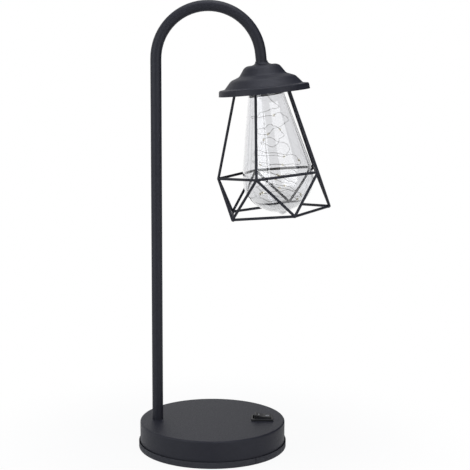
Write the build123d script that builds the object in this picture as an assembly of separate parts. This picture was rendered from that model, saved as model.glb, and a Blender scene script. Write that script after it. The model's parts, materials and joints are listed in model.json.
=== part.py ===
# Battery table lamp: round base, bent tube neck, bell canopy, clear bulb with a
# string of tiny lights, and an open wire cage round the bulb.
# Millimetres. Origin at the centre of the ring that the base stands on, +Z up,
# +X from the neck towards the head.
from build123d import *
from math import acos, atan2, cos, hypot, pi, radians, sin, sqrt, tan
import os

# Driving sizes, read from the photograph and rounded to what such a lamp measures
SHELL_OD = 137.4
BASE_TOP = 25.2
NECK_INSET = 16.5
SWITCH_INSET = 21.4
TUBE_OD = 10.2
ARCH_RADIUS = 47.9
ARCH_HEIGHT = 365.0
HEAD_TILT = 6.0
HEAD_RUN = 10.2
CAGE_RADIUS = 50.0
CAGE_MID_DROP = 100.0
CAGE_LOW_DROP = 135.6
CAGE_SIDES = 5
WIRE_DIA = 2.5
BULB_RADIUS = 32.5
BULB_WIDEST_DROP = 107.8

# Clearances
FIT = 0.05
GAP = 0.3

# Sheet and wall thicknesses
SHELL_WALL = 1.0
TUBE_WALL = 1.1
CANOPY_WALL = 1.0
BULB_WALL = 1.0

# Base shell, and the soft trim on its bottom edge
SHELL_R = SHELL_OD / 2
SHELL_EDGE_RADIUS = 1.5
SHELL_TOP_UNDER = BASE_TOP - SHELL_WALL
TRIM_WEB = 1.2
TRIM_LEG = 1.25
TRIM_HEIGHT = 6.0
TRIM_EDGE_RADIUS = 0.5
TRIM_R = SHELL_R + FIT + TRIM_LEG
TRIM_INNER_R = SHELL_R - SHELL_WALL - FIT
TRIM_JOINT_ANGLE = -54.5
TRIM_JOINT_GAP = 0.6
NECK_X = NECK_INSET - SHELL_R
SWITCH_X = SHELL_R - SWITCH_INSET

# Base plate, posts and screws
PLATE_R = TRIM_INNER_R - TRIM_LEG - GAP
PLATE_UNDER = TRIM_WEB
PLATE_THICK = 3.0
PLATE_TOP = PLATE_UNDER + PLATE_THICK
POST_INSET = 8.1
POST_CIRCLE_R = PLATE_R - POST_INSET
POST_ANGLES = (30, 150, 210, 330)
POST_R = 4.0
SCREW_R = 1.5
SCREW_LENGTH = 10.0
SCREW_HEAD_R = 2.8
SCREW_HEAD_H = 1.8
SCREW_RECESS = 2.0

# Battery compartment, made to fit its cells and their contacts
CELL_R = 7.25
CELL_LENGTH = 49.5
CELL_NUB_R = 2.75
CELL_NUB_LENGTH = 1.0
CELL_SPACE = 0.9
CELL_PITCH = 2 * CELL_R + CELL_SPACE
CONTACT_THICK = 0.4
CONTACT_MARGIN = 1.25
CONTACT_SIZE = 2 * (CELL_R - CONTACT_MARGIN)
SPRING_LENGTH = 5.7
SPRING_WIRE_R = 0.35
SPRING_WIDE_R = 4.2
SPRING_NARROW_R = 2.6
BOX_X = -2.0
BOX_HALF_X = 1.5 * CELL_PITCH + 0.2
BOX_HALF_Y = (CELL_LENGTH + CELL_NUB_LENGTH + SPRING_LENGTH) / 2 + CONTACT_THICK
BOX_WALL = 2.5
BOX_ROOF_WALL = 2.0
LEDGE = 1.2
LEDGE_END_ROOM = 0.6

# Battery door and its hinge along X
DOOR_GAP = 0.3
DOOR_THICK = 1.9
DOOR_SEAT_ROOM = 0.2
DOOR_BARREL_R = 1.5
DOOR_BARREL_LENGTH = 36.0
DOOR_BARREL_ROOM = 0.4
DOOR_PIN_R = 0.9
DOOR_PIN_LENGTH = 2.5
DOOR_SETBACK = 2.5
DOOR_HINGE_Y = -(BOX_HALF_Y + LEDGE + LEDGE_END_ROOM + DOOR_BARREL_R + 0.1)
DOOR_HINGE_Z = PLATE_UNDER + DOOR_BARREL_R + FIT
LEDGE_Z = PLATE_UNDER + DOOR_THICK + DOOR_SEAT_ROOM
CELL_Z = LEDGE_Z + GAP + CELL_R
BOX_ROOF = CELL_Z + CELL_R + GAP

# Rocker switch: the rocker, the well round it, the case round that and the bezel
ROCKER_LENGTH = 15.6
ROCKER_WIDTH = 10.4
ROCKER_RISE = 1.7
ROCKER_V = 5.0
ROCKER_TILT = 8.0
ROCKER_PIVOT_DROP = 4.0
ROCKER_PIN_R = 1.25
ROCKER_PIN_REACH = 0.55
ROCKER_END_ROOM = 1.0
ROCKER_SIDE_ROOM = 0.3
SWITCH_END_WALL = 0.7
SWITCH_SIDE_WALL = 0.9
SWITCH_FLOOR = 1.5
SWITCH_CUT_ROOM = 0.2
BEZEL_END_LIP = 1.0
BEZEL_SIDE_LIP = 1.1
BEZEL_HEIGHT = 2.0
WELL_LENGTH = ROCKER_LENGTH + 2 * ROCKER_END_ROOM
WELL_WIDTH = ROCKER_WIDTH + 2 * ROCKER_SIDE_ROOM
SWITCH_LENGTH = WELL_LENGTH + 2 * SWITCH_END_WALL
SWITCH_WIDTH = WELL_WIDTH + 2 * SWITCH_SIDE_WALL
BEZEL_LENGTH = SWITCH_LENGTH + 2 * BEZEL_END_LIP
BEZEL_WIDTH = SWITCH_WIDTH + 2 * BEZEL_SIDE_LIP
BEZEL_TOP = BASE_TOP + BEZEL_HEIGHT
PIVOT_Z = BEZEL_TOP - ROCKER_PIVOT_DROP
PLUNGER_R = 1.35
PLUNGER_REACH = 7.0
PLUNGER_SPRING_R = 1.15
PLUNGER_SPRING_WIRE_R = 0.2
CONTACT_BLADE = 0.5
CONTACT_BLADE_WIDTH = 4.0
CONTACT_HALF_LENGTH = 5.2
CONTACT_ROOM = 1.9
CONTACT_PIVOT_Z = PIVOT_Z - PLUNGER_REACH - CONTACT_BLADE / 2 - GAP - FIT
WELL_LOW = CONTACT_PIVOT_Z - CONTACT_ROOM
SWITCH_UNDER = WELL_LOW - SWITCH_FLOOR
TERMINAL_X = 5.0
TERMINAL_WIDTH = 4.8
TERMINAL_THICK = 0.8
TERMINAL_END = PLATE_TOP + 1.2

# Neck fixings: hollow threaded nipples with a washer and a hexagon nut
TUBE_R = TUBE_OD / 2
TUBE_BORE_R = TUBE_R - TUBE_WALL
NIPPLE_R = TUBE_BORE_R - FIT
NIPPLE_BORE_R = 2.7
NIPPLE_IN_TUBE = 8.0
NIPPLE_HOLE_R = NIPPLE_R + 0.2
WASHER_R = 9.0
WASHER_THICK = 1.2
NUT_FLATS = 13.0
NUT_HEIGHT = 5.0
NIPPLE_BELOW_NUT = 2.5

# Collar on the canopy's crown, round the tube's end
COLLAR_HEIGHT = 3.4
COLLAR_EDGE = 0.3
COLLAR_LAND = 0.6
COLLAR_FLARE_R = COLLAR_HEIGHT - COLLAR_EDGE
COLLAR_R = TUBE_R + COLLAR_LAND + COLLAR_FLARE_R

# Bulb holder, measured down from the canopy's top along the head's own axis
HOLDER_R = 15.7
HOLDER_WALL = 1.8
HOLDER_FLOOR = 3.0
HOLDER_END = 28.2
HOLDER_STEP = 0.8
WASHER_ROOM = 0.5
HOLDER_NECK_WALL = 1.5
HOLDER_NECK_R = WASHER_R + WASHER_ROOM + HOLDER_NECK_WALL
HOLDER_SEAT_R = HOLDER_NECK_R + 0.6
HOLDER_SLEEVE = 1.2
HOLDER_TAPER = 3.6
CAP_THICK = 2.0
CAP_HOLE_R = 1.6

# Canopy: how far out and down each part of the bell goes, from the crown to the rim
CROWN_MARGIN = 4.4
CROWN_R = HOLDER_NECK_R + CROWN_MARGIN
WAIST_REACH = 6.2
WAIST_FALL = 9.0
FLARE_REACH = 8.2
FLARE_FALL = 3.2
SKIRT_REACH = 6.4
SKIRT_FALL = 7.2
LEDGE_REACH = 5.2
LEDGE_FALL = 0.6
RIM_REACH = 0.6
RIM_FALL = 5.4
BELL_BENDS = (7.0, 5.0, 7.0, 2.4, 1.6)

# Bulb and cage
BULB_NECK_TOP = 17.0
BULB_NECK_R = HOLDER_R + 0.1 + BULB_WALL
BULB_CONE_TOP = HOLDER_END + 1.0
BULB_SHOULDER_RADIUS = 83.0
BULB_KNUCKLE_R = 0.74 * BULB_RADIUS
BULB_END_DEPTH = 0.88 * BULB_RADIUS
BULB_PIP_RISE = 2.8
BULB_PIP_R = 4.6
BULB_PIP_BLEND_R = 7.5
BULB_LEAN = 2.8
BULB_PIVOT_DROP = 2.5
UPRIGHT_CLEAR = 11.4
UPRIGHT_RIM_R = BULB_NECK_R + UPRIGHT_CLEAR
UPRIGHT_RIM_DROP = 27.5
RING_BEND = 2.6

# Light string
STRING_R = 0.3
STRING_LOOPS = 9
STRING_START = HOLDER_END + 5.8
STRING_END_ROOM = 5.0
STRING_END = BULB_WIDEST_DROP + BULB_END_DEPTH - STRING_END_ROOM
STRING_MARGIN = 6.0
STRING_TIP = 7.0
STRING_BEADS = 18
BEAD_R = 1.2
BEAD_LENGTH = 3.0
BEAD_HOLE_R = 0.5

# Feed lead, board and base wiring
LEAD_R = 1.1
LEAD_HEAD_END = 22.0
LEAD_JOINT = 0.1
HOOKUP_R = 0.75
WIRE_LANE = 4.0
LANE_STEP = 2.6
BOARD_LENGTH = 26.0
BOARD_WIDTH = 12.0
BOARD_THICK = 1.2
BOARD_PAD = 1.0
BOARD_CLEAR = 6.0
BOARD_X = -8.0
BOARD_Y = BOX_HALF_Y + BOX_WALL + BOARD_CLEAR + BOARD_WIDTH / 2
BOARD_TOP = PLATE_TOP + BOARD_PAD + BOARD_THICK
RESISTOR_R = 1.15
RESISTOR_LENGTH = 6.5
LANE_LEFT_X = BOX_X - BOX_HALF_X - BOX_WALL - WIRE_LANE
LANE_RIGHT_X = BOX_X + BOX_HALF_X + BOX_WALL + WIRE_LANE
LANE_END_Y = BOARD_Y - 9.0

# The arch's centre and the head's place: local +Z runs back up the head's axis
ARCH_X = NECK_X + ARCH_RADIUS
ARCH_END = Vector(
    ARCH_X + ARCH_RADIUS * cos(radians(HEAD_TILT)),
    0,
    ARCH_HEIGHT + ARCH_RADIUS * sin(radians(HEAD_TILT)),
)
HEAD_DIR = Vector(sin(radians(HEAD_TILT)), 0, -cos(radians(HEAD_TILT)))
HEAD_ORIGIN = ARCH_END + HEAD_DIR * HEAD_RUN
HEAD = Location(tuple(HEAD_ORIGIN), (0, -HEAD_TILT, 0))

# The bulb hangs a little further out than the canopy, turned about the middle of the holder's seat
LEAN = Pos(0, 0, -BULB_PIVOT_DROP) * Rot(0, -BULB_LEAN, 0) * Pos(0, 0, BULB_PIVOT_DROP)
BULB = HEAD * LEAN

os.makedirs("parts", exist_ok=True)
made = []


def save(name, shape):
    """Write one node and keep its name for the closing count."""
    export_step(shape, "parts/" + name + ".step")
    made.append(name)


def slab(x, y, z, centre):
    """A block of the given size about a centre."""
    return Pos(*centre) * Box(x, y, z)


def post(radius, z_low, z_high, x=0, y=0):
    """An upright cylinder between two heights."""
    return Pos(x, y, (z_low + z_high) / 2) * Cylinder(radius, z_high - z_low)


def bar(radius, start, end):
    """A round bar from one point to another."""
    start, end = Vector(start), Vector(end)
    run = end - start
    return Plane(origin=start, z_dir=run) * Cylinder(
        radius, run.length, align=(Align.CENTER, Align.CENTER, Align.MIN)
    )


def along_x(radius, length, centre):
    """A round bar along X about a centre."""
    return Pos(*centre) * Rot(0, 90, 0) * Cylinder(radius, length)


def tube_along(path, radius):
    """A round rod swept along a path that starts at its first point."""
    section = Plane(origin=path @ 0, z_dir=path % 0) * Circle(radius)
    return sweep(section, path=path)


def turned(points):
    """A solid of revolution about Z from an outline of (radius, height) points."""
    outline = Polyline(*[(r, 0, z) for r, z in points], close=True)
    return revolve(make_face(outline), Axis.Z)


def on_circle(radius, degrees, z):
    """A point on a level circle about Z."""
    return Vector(radius * cos(radians(degrees)), radius * sin(radians(degrees)), z)


def biarc(start, start_dir, end, end_dir):
    """Two arcs in space that leave one point and reach another along set directions."""
    across = end - start
    summed = start_dir + end_dir
    spread = 2 * (1 - start_dir.dot(end_dir))
    lead = across.dot(summed)
    if spread < 1e-6:
        reach = across.dot(across) / (4 * across.dot(end_dir))
    else:
        reach = (sqrt(lead * lead + spread * across.dot(across)) - lead) / spread
    middle = (start + end + (start_dir - end_dir) * reach) / 2
    first = TangentArc(start, middle, tangent=start_dir)
    return [first, TangentArc(middle, end, tangent=first % 1)]


def arcs_through(points, directions):
    """Biarcs from each point to the next."""
    edges = []
    for i in range(len(points) - 1):
        edges += biarc(points[i], directions[i], points[i + 1], directions[i + 1])
    return edges


def winding(place, turns, steps_per_turn=4):
    """Points and directions of a winding given by place(u), u from 0 to 1."""
    count = int(turns * steps_per_turn)
    nudge = 1e-4
    points, directions = [], []
    for i in range(count + 1):
        u = i / count
        points.append(place(u))
        directions.append((place(u + nudge) - place(u - nudge)).normalized())
    return points, directions


def least_gap(path, wire_radius, spacing, skip_length):
    """Smallest clear distance between stretches of a wire further apart than skip_length."""
    count = int(path.length / spacing)
    points = [path @ (i / count) for i in range(count + 1)]
    skip = int(skip_length / spacing)
    closest = min(
        (points[i] - points[j]).length
        for i in range(len(points))
        for j in range(i + skip, len(points))
    )
    return closest - 2 * wire_radius


# Base

def base_shell():
    """Pressed cover with a rounded top edge, the neck's hole and the switch's cut-out."""
    outer = post(SHELL_R, TRIM_WEB, BASE_TOP)
    outer = fillet(outer.edges().group_by(Axis.Z)[-1], SHELL_EDGE_RADIUS)
    inner = post(SHELL_R - SHELL_WALL, TRIM_WEB - 1, SHELL_TOP_UNDER)
    inner = fillet(inner.edges().group_by(Axis.Z)[-1], SHELL_EDGE_RADIUS - SHELL_WALL)
    neck_hole = post(NIPPLE_HOLE_R, TRIM_WEB, BASE_TOP + 1, NECK_X)
    cut_length = SWITCH_LENGTH + 2 * SWITCH_CUT_ROOM
    cut_width = SWITCH_WIDTH + 2 * SWITCH_CUT_ROOM
    cut_out = slab(cut_length, cut_width, 6 * SHELL_WALL, (SWITCH_X, 0, BASE_TOP))
    return outer - inner - neck_hole - cut_out


def edge_trim():
    """Soft channel pushed on the shell's bottom edge, with a butt joint at the front."""
    channel = turned([
        (TRIM_R, 0),
        (TRIM_R, TRIM_HEIGHT),
        (SHELL_R + FIT, TRIM_HEIGHT),
        (SHELL_R + FIT, TRIM_WEB),
        (TRIM_INNER_R, TRIM_WEB),
        (TRIM_INNER_R, TRIM_HEIGHT),
        (TRIM_INNER_R - TRIM_LEG, TRIM_HEIGHT),
        (TRIM_INNER_R - TRIM_LEG, 0),
    ])
    circles = channel.edges().filter_by(GeomType.CIRCLE)
    outer_rims = circles.filter_by(lambda edge: abs(edge.radius - TRIM_R) < 0.01)
    channel = fillet(outer_rims, TRIM_EDGE_RADIUS)
    across = 3 * (TRIM_R - TRIM_INNER_R + TRIM_LEG)
    joint = slab(across, TRIM_JOINT_GAP, 3 * TRIM_HEIGHT, (TRIM_R, 0, 0))
    return channel - Rot(0, 0, TRIM_JOINT_ANGLE) * joint


def post_places():
    """Centres of the four posts and their screws."""
    return [on_circle(POST_CIRCLE_R, angle, 0) for angle in POST_ANGLES]


def shell_posts():
    """Posts that hang from the shell's top, each with a hole for a screw."""
    posts = []
    for place in post_places():
        whole = post(POST_R, PLATE_TOP, SHELL_TOP_UNDER, place.X, place.Y)
        hole = post(SCREW_R + 0.02, PLATE_TOP - 1, PLATE_TOP + SCREW_LENGTH, place.X, place.Y)
        posts.append(whole - hole)
    return Compound(children=posts)


def plate_screws():
    """Pan-head screws with a crossed recess, sunk into the plate from below."""
    seat = PLATE_UNDER + SCREW_RECESS
    screws = []
    for place in post_places():
        head = post(SCREW_HEAD_R, seat - SCREW_HEAD_H, seat, place.X, place.Y)
        shank = post(SCREW_R, seat, seat + SCREW_LENGTH - 0.5, place.X, place.Y)
        slot_z = seat - SCREW_HEAD_H + 0.4
        slots = slab(3.2, 0.8, 0.8, (place.X, place.Y, slot_z))
        slots += slab(0.8, 3.2, 0.8, (place.X, place.Y, slot_z))
        screws.append(head + shank - slots)
    return Compound(children=screws)


def hinge_room():
    """Space in the plate for the door's barrel, open below, with its two pin sockets."""
    room_r = DOOR_BARREL_R + DOOR_BARREL_ROOM
    length = DOOR_BARREL_LENGTH + 2 * DOOR_BARREL_ROOM
    centre = (BOX_X, DOOR_HINGE_Y, DOOR_HINGE_Z)
    room = along_x(room_r, length, centre)
    room += slab(length, 2 * room_r, 4, (BOX_X, DOOR_HINGE_Y, DOOR_HINGE_Z - 2))
    sockets = along_x(DOOR_PIN_R + FIT, length + 2 * (DOOR_PIN_LENGTH + GAP), centre)
    return room + sockets


def base_plate():
    """Moulded bottom with the battery compartment, open below, and the door's seat."""
    disc = post(PLATE_R, PLATE_UNDER, PLATE_TOP)
    box_height = BOX_ROOF + BOX_ROOF_WALL - PLATE_TOP
    box_x = 2 * (BOX_HALF_X + BOX_WALL)
    box_y = 2 * (BOX_HALF_Y + BOX_WALL)
    box = slab(box_x, box_y, box_height, (BOX_X, 0, PLATE_TOP + box_height / 2))
    box = fillet(box.edges().filter_by(Axis.Z), 2.0)
    hollow_height = BOX_ROOF - PLATE_UNDER + 1
    hollow = slab(
        2 * BOX_HALF_X, 2 * BOX_HALF_Y, hollow_height, (BOX_X, 0, BOX_ROOF - hollow_height / 2)
    )
    seat_x = 2 * (BOX_HALF_X + LEDGE)
    seat_y = 2 * (BOX_HALF_Y + LEDGE + LEDGE_END_ROOM)
    seat = slab(seat_x, seat_y, 2 * (LEDGE_Z - PLATE_UNDER), (BOX_X, 0, PLATE_UNDER))
    finger = slab(14, 5, 3.2, (BOX_X, BOX_HALF_Y + LEDGE + 2.5, PLATE_UNDER))
    plate = disc + box - hollow - seat - finger - hinge_room()
    for place in post_places():
        plate -= post(SCREW_R + 0.2, 0, 10, place.X, place.Y)
        plate -= post(SCREW_HEAD_R + 0.3, 0, PLATE_UNDER + SCREW_RECESS, place.X, place.Y)
    for x, side in ((CELL_X[0], -1), (CELL_X[2], 1)):
        wall_y = side * (BOX_HALF_Y + BOX_WALL / 2)
        plate -= Pos(x, wall_y, CELL_Z) * Rot(90, 0, 0) * Cylinder(HOOKUP_R + 0.2, 2 * BOX_WALL)
    return plate


def battery_door():
    """Flat door with a barrel and two stub pins along its hinge edge."""
    half_x = BOX_HALF_X + LEDGE - DOOR_GAP
    far_y = BOX_HALF_Y + LEDGE + LEDGE_END_ROOM - DOOR_GAP
    near_y = DOOR_HINGE_Y + DOOR_SETBACK
    mid_z = PLATE_UNDER + DOOR_THICK / 2
    panel = slab(2 * half_x, far_y - near_y, DOOR_THICK, (BOX_X, (far_y + near_y) / 2, mid_z))
    panel = fillet(panel.edges().filter_by(Axis.Z), 1.0)
    leaf_y = near_y - DOOR_HINGE_Y + 1
    leaf = slab(DOOR_BARREL_LENGTH, leaf_y, DOOR_THICK, (BOX_X, DOOR_HINGE_Y + leaf_y / 2, mid_z))
    centre = (BOX_X, DOOR_HINGE_Y, DOOR_HINGE_Z)
    barrel = along_x(DOOR_BARREL_R, DOOR_BARREL_LENGTH, centre)
    pins = along_x(DOOR_PIN_R, DOOR_BARREL_LENGTH + 2 * DOOR_PIN_LENGTH, centre)
    return panel + leaf + barrel + pins


# Battery: three round cells along Y, every second one turned about
CELL_X = [BOX_X + (i - 1) * CELL_PITCH for i in range(3)]
CELL_PLUS = (1, -1, 1)
CONTACT_Y = BOX_HALF_Y - CONTACT_THICK


def battery_cells():
    """Cells whose plus nubs rest on a contact plate."""
    cells = []
    for x, side in zip(CELL_X, CELL_PLUS):
        nub_end = side * CONTACT_Y
        body_end = nub_end - side * CELL_NUB_LENGTH
        can = bar(CELL_R, (x, body_end - side * CELL_LENGTH, CELL_Z), (x, body_end, CELL_Z))
        can = chamfer(can.edges().filter_by(GeomType.CIRCLE), 0.5)
        nub = bar(CELL_NUB_R, (x, body_end, CELL_Z), (x, nub_end, CELL_Z))
        cells.append(can + nub)
    return Compound(children=cells)


def contact_plates():
    """Two single plates for the wires and two double ones that join the cells in a row."""
    wall = CONTACT_Y + CONTACT_THICK / 2
    single = CONTACT_SIZE
    double = CONTACT_SIZE + CELL_PITCH
    between = CELL_PITCH / 2
    return Compound(children=[
        slab(single, CONTACT_THICK, CONTACT_SIZE, (CELL_X[0], -wall, CELL_Z)),
        slab(double, CONTACT_THICK, CONTACT_SIZE, (CELL_X[1] + between, -wall, CELL_Z)),
        slab(double, CONTACT_THICK, CONTACT_SIZE, (CELL_X[1] - between, wall, CELL_Z)),
        slab(single, CONTACT_THICK, CONTACT_SIZE, (CELL_X[2], wall, CELL_Z)),
    ])


def coil(radius_low, radius_high, height, turns, wire_radius, name):
    """A round-wire spring along +Z that narrows evenly from one end to the other."""
    low = wire_radius + 0.01
    climb = height - 2 * low

    def place(u):
        return on_circle(radius_low + (radius_high - radius_low) * u, 360 * turns * u, low + climb * u)

    points, directions = winding(place, turns)
    path = Wire(arcs_through(points, directions))
    gap = least_gap(path, wire_radius, 0.4, 0.75 * 2 * pi * min(radius_low, radius_high))
    print(name, "least gap to itself", round(gap, 2), "mm")
    return tube_along(path, wire_radius)


def contact_springs():
    """Cone springs behind the flat end of each cell."""
    spring = coil(SPRING_WIDE_R, SPRING_NARROW_R, SPRING_LENGTH, 3.5, SPRING_WIRE_R, "contact spring")
    springs = []
    for x, side in zip(CELL_X, CELL_PLUS):
        springs.append(Pos(x, -side * CONTACT_Y, CELL_Z) * Rot(-90 * side, 0, 0) * spring)
    return Compound(children=springs)


# Rocker switch

def switch_body():
    """Snap-in body with its bezel, a well for the rocker and slots for the terminals."""
    bezel = slab(BEZEL_LENGTH, BEZEL_WIDTH, BEZEL_HEIGHT, (SWITCH_X, 0, BASE_TOP + BEZEL_HEIGHT / 2))
    bezel = fillet(bezel.edges().filter_by(Axis.Z), 1.2)
    bezel = fillet(bezel.edges().group_by(Axis.Z)[-1], 0.6)
    depth = BASE_TOP - SWITCH_UNDER
    case = slab(SWITCH_LENGTH, SWITCH_WIDTH, depth, (SWITCH_X, 0, BASE_TOP - depth / 2))
    wing = make_face(Polyline(
        (SWITCH_LENGTH / 2 - 0.2, 0, SHELL_TOP_UNDER - 0.1),
        (SWITCH_LENGTH / 2 + 0.9, 0, SHELL_TOP_UNDER - 0.1),
        (SWITCH_LENGTH / 2 - 0.2, 0, SHELL_TOP_UNDER - 5),
        close=True,
    ))
    wing = extrude(wing, amount=3, both=True)
    wings = Pos(SWITCH_X, 0, 0) * (wing + mirror(wing, Plane.YZ))
    well_height = BEZEL_TOP + 1 - WELL_LOW
    well = slab(WELL_LENGTH, WELL_WIDTH, well_height, (SWITCH_X, 0, WELL_LOW + well_height / 2))
    pivot = Pos(SWITCH_X, 0, PIVOT_Z) * Rot(90, 0, 0) * Cylinder(ROCKER_PIN_R + FIT, BEZEL_WIDTH)
    body = bezel + case + wings - well - pivot
    for x in (0, TERMINAL_X):
        slot_x = TERMINAL_THICK + 0.04
        body -= slab(slot_x, TERMINAL_WIDTH + 0.04, 4 * SWITCH_FLOOR, (SWITCH_X + x, 0, SWITCH_UNDER))
    return body


def at_rocker(shape):
    """Put a piece drawn about the rocker's pivot in place, with its head-side end down."""
    return Pos(SWITCH_X, 0, PIVOT_Z) * Rot(0, ROCKER_TILT, 0) * shape


ROCKER_CREST = ROCKER_PIVOT_DROP + ROCKER_RISE
ROCKER_FOOT = -5.0
PLUNGER_BORE_R = 1.6
PLUNGER_BORE_TOP = 1.5
PLUNGER_TOP = -3.5


def switch_rocker():
    """Rocker with a shallow V on top, stub pins at its sides and a bore for the plunger."""
    half = ROCKER_LENGTH / 2
    end_rise = ROCKER_CREST + half * tan(radians(ROCKER_V))
    side = make_face(Polyline(
        (0, 0, ROCKER_CREST),
        (half, 0, end_rise),
        (half, 0, -2.5),
        (4.5, 0, ROCKER_FOOT),
        (-4.5, 0, ROCKER_FOOT),
        (-half, 0, -2.5),
        (-half, 0, end_rise),
        close=True,
    ))
    rocker = extrude(side, amount=ROCKER_WIDTH / 2, both=True)
    ends = rocker.edges().filter_by(Axis.Y).group_by(Axis.Z)[-1]
    rocker = fillet(ends, 0.8)
    pin_length = WELL_WIDTH + 2 * ROCKER_PIN_REACH
    rocker += Rot(90, 0, 0) * Cylinder(ROCKER_PIN_R, pin_length)
    rocker -= post(PLUNGER_BORE_R, ROCKER_FOOT - 1, PLUNGER_BORE_TOP)
    return at_rocker(rocker)


def rocker_plunger():
    """Round-nosed plunger in the rocker that pushes the tilting contact over."""
    nose = Pos(0, 0, -PLUNGER_REACH + PLUNGER_R) * Sphere(PLUNGER_R)
    return at_rocker(post(PLUNGER_R, -PLUNGER_REACH + PLUNGER_R, PLUNGER_TOP) + nose)


def plunger_spring():
    """Small spring between the plunger and the top of its bore."""
    height = PLUNGER_BORE_TOP - PLUNGER_TOP
    spring = coil(PLUNGER_SPRING_R, PLUNGER_SPRING_R, height, 5, PLUNGER_SPRING_WIRE_R, "plunger spring")
    return at_rocker(Pos(0, 0, PLUNGER_TOP) * spring)


def switch_contact():
    """Tilting contact, held over on the side away from the head."""
    plate = Box(2 * CONTACT_HALF_LENGTH, CONTACT_BLADE_WIDTH, CONTACT_BLADE)
    return Pos(SWITCH_X, 0, CONTACT_PIVOT_Z) * Rot(0, -ROCKER_TILT, 0) * plate


def switch_terminals():
    """Middle blade that carries the contact, and the blade that the contact closes on."""
    middle_top = CONTACT_PIVOT_Z - CONTACT_BLADE / 2 - GAP
    reach = TERMINAL_X - TERMINAL_THICK / 2
    end_top = middle_top - (reach + TERMINAL_THICK) * tan(radians(ROCKER_TILT))
    blades = []
    for x, top in ((0, middle_top), (TERMINAL_X, end_top)):
        height = top - TERMINAL_END
        centre = (SWITCH_X + x, 0, TERMINAL_END + height / 2)
        blades.append(slab(TERMINAL_THICK, TERMINAL_WIDTH, height, centre))
    return Compound(children=blades)


# Neck

def neck_path():
    """Centre line of the neck: up, over the arch and down into the head."""
    top = Vector(ARCH_X, 0, ARCH_HEIGHT + ARCH_RADIUS)
    return Wire([
        Line((NECK_X, 0, BASE_TOP), (NECK_X, 0, ARCH_HEIGHT)),
        ThreePointArc((NECK_X, 0, ARCH_HEIGHT), top, ARCH_END),
        Line(ARCH_END, HEAD_ORIGIN),
    ])


def neck_tube():
    """Bent tube: the full rod along the centre line less its bore."""
    path = neck_path()
    section = Plane(origin=path @ 0, z_dir=path % 0) * (Circle(TUBE_R) - Circle(TUBE_BORE_R))
    return sweep(section, path=path)


def nipple(z_low, z_high):
    """Hollow threaded nipple."""
    return post(NIPPLE_R, z_low, z_high) - post(NIPPLE_BORE_R, z_low - 1, z_high + 1)


def washer(z_low):
    """Flat washer on a nipple."""
    z_high = z_low + WASHER_THICK
    return post(WASHER_R, z_low, z_high) - post(NIPPLE_R + 0.15, z_low - 1, z_high + 1)


def nut(z_low):
    """Hexagon nut on a nipple."""
    hexagon = RegularPolygon(NUT_FLATS / 2, 6, major_radius=False)
    whole = Pos(0, 0, z_low) * extrude(hexagon, amount=NUT_HEIGHT)
    return whole - post(NIPPLE_R + 0.02, z_low - 1, z_low + NUT_HEIGHT + 1)


FOOT = Pos(NECK_X, 0, 0)
FOOT_WASHER_Z = SHELL_TOP_UNDER - WASHER_THICK
FOOT_NUT_Z = FOOT_WASHER_Z - NUT_HEIGHT
FOOT_NIPPLE_Z = FOOT_NUT_Z - NIPPLE_BELOW_NUT
HEAD_WASHER_Z = -CANOPY_WALL - HOLDER_FLOOR - WASHER_THICK
HEAD_NUT_Z = HEAD_WASHER_Z - NUT_HEIGHT
HEAD_NIPPLE_Z = HEAD_NUT_Z - NIPPLE_BELOW_NUT


# Head, drawn about its own axis with the canopy's top at zero

def neck_collar():
    """Small flared ring round the tube's end, sitting on the canopy."""
    inner = TUBE_R + 0.02
    drawn_in = COLLAR_FLARE_R * sin(pi / 4)
    middle = (COLLAR_R - drawn_in, 0, COLLAR_HEIGHT - drawn_in)
    flare_top = COLLAR_R - COLLAR_FLARE_R
    outline = [
        Line((inner, 0, 0), (COLLAR_R, 0, 0)),
        Line((COLLAR_R, 0, 0), (COLLAR_R, 0, COLLAR_EDGE)),
        ThreePointArc((COLLAR_R, 0, COLLAR_EDGE), middle, (flare_top, 0, COLLAR_HEIGHT)),
        Line((flare_top, 0, COLLAR_HEIGHT), (inner, 0, COLLAR_HEIGHT)),
        Line((inner, 0, COLLAR_HEIGHT), (inner, 0, 0)),
    ]
    return revolve(make_face(Wire(outline)), Axis.Z)


def canopy_line():
    """Outer line of the bell: crown, waist, flare, skirt, ledge and rim."""
    steps = [
        (WAIST_REACH, WAIST_FALL),
        (FLARE_REACH, FLARE_FALL),
        (SKIRT_REACH, SKIRT_FALL),
        (LEDGE_REACH, LEDGE_FALL),
        (RIM_REACH, RIM_FALL),
    ]
    corners = [(NIPPLE_HOLE_R, 0, 0), (CROWN_R, 0, 0)]
    for reach, fall in steps:
        out, _, height = corners[-1]
        corners.append((out + reach, 0, height - fall))
    return FilletPolyline(*corners, radius=list(BELL_BENDS))


def canopy():
    """Spun bell of even thickness."""
    flat = Plane.XZ
    line = flat.to_local_coords(canopy_line())
    strip = offset(line, amount=CANOPY_WALL, side=Side.RIGHT)
    return revolve(flat * make_face(strip), Axis.Z)


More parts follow.
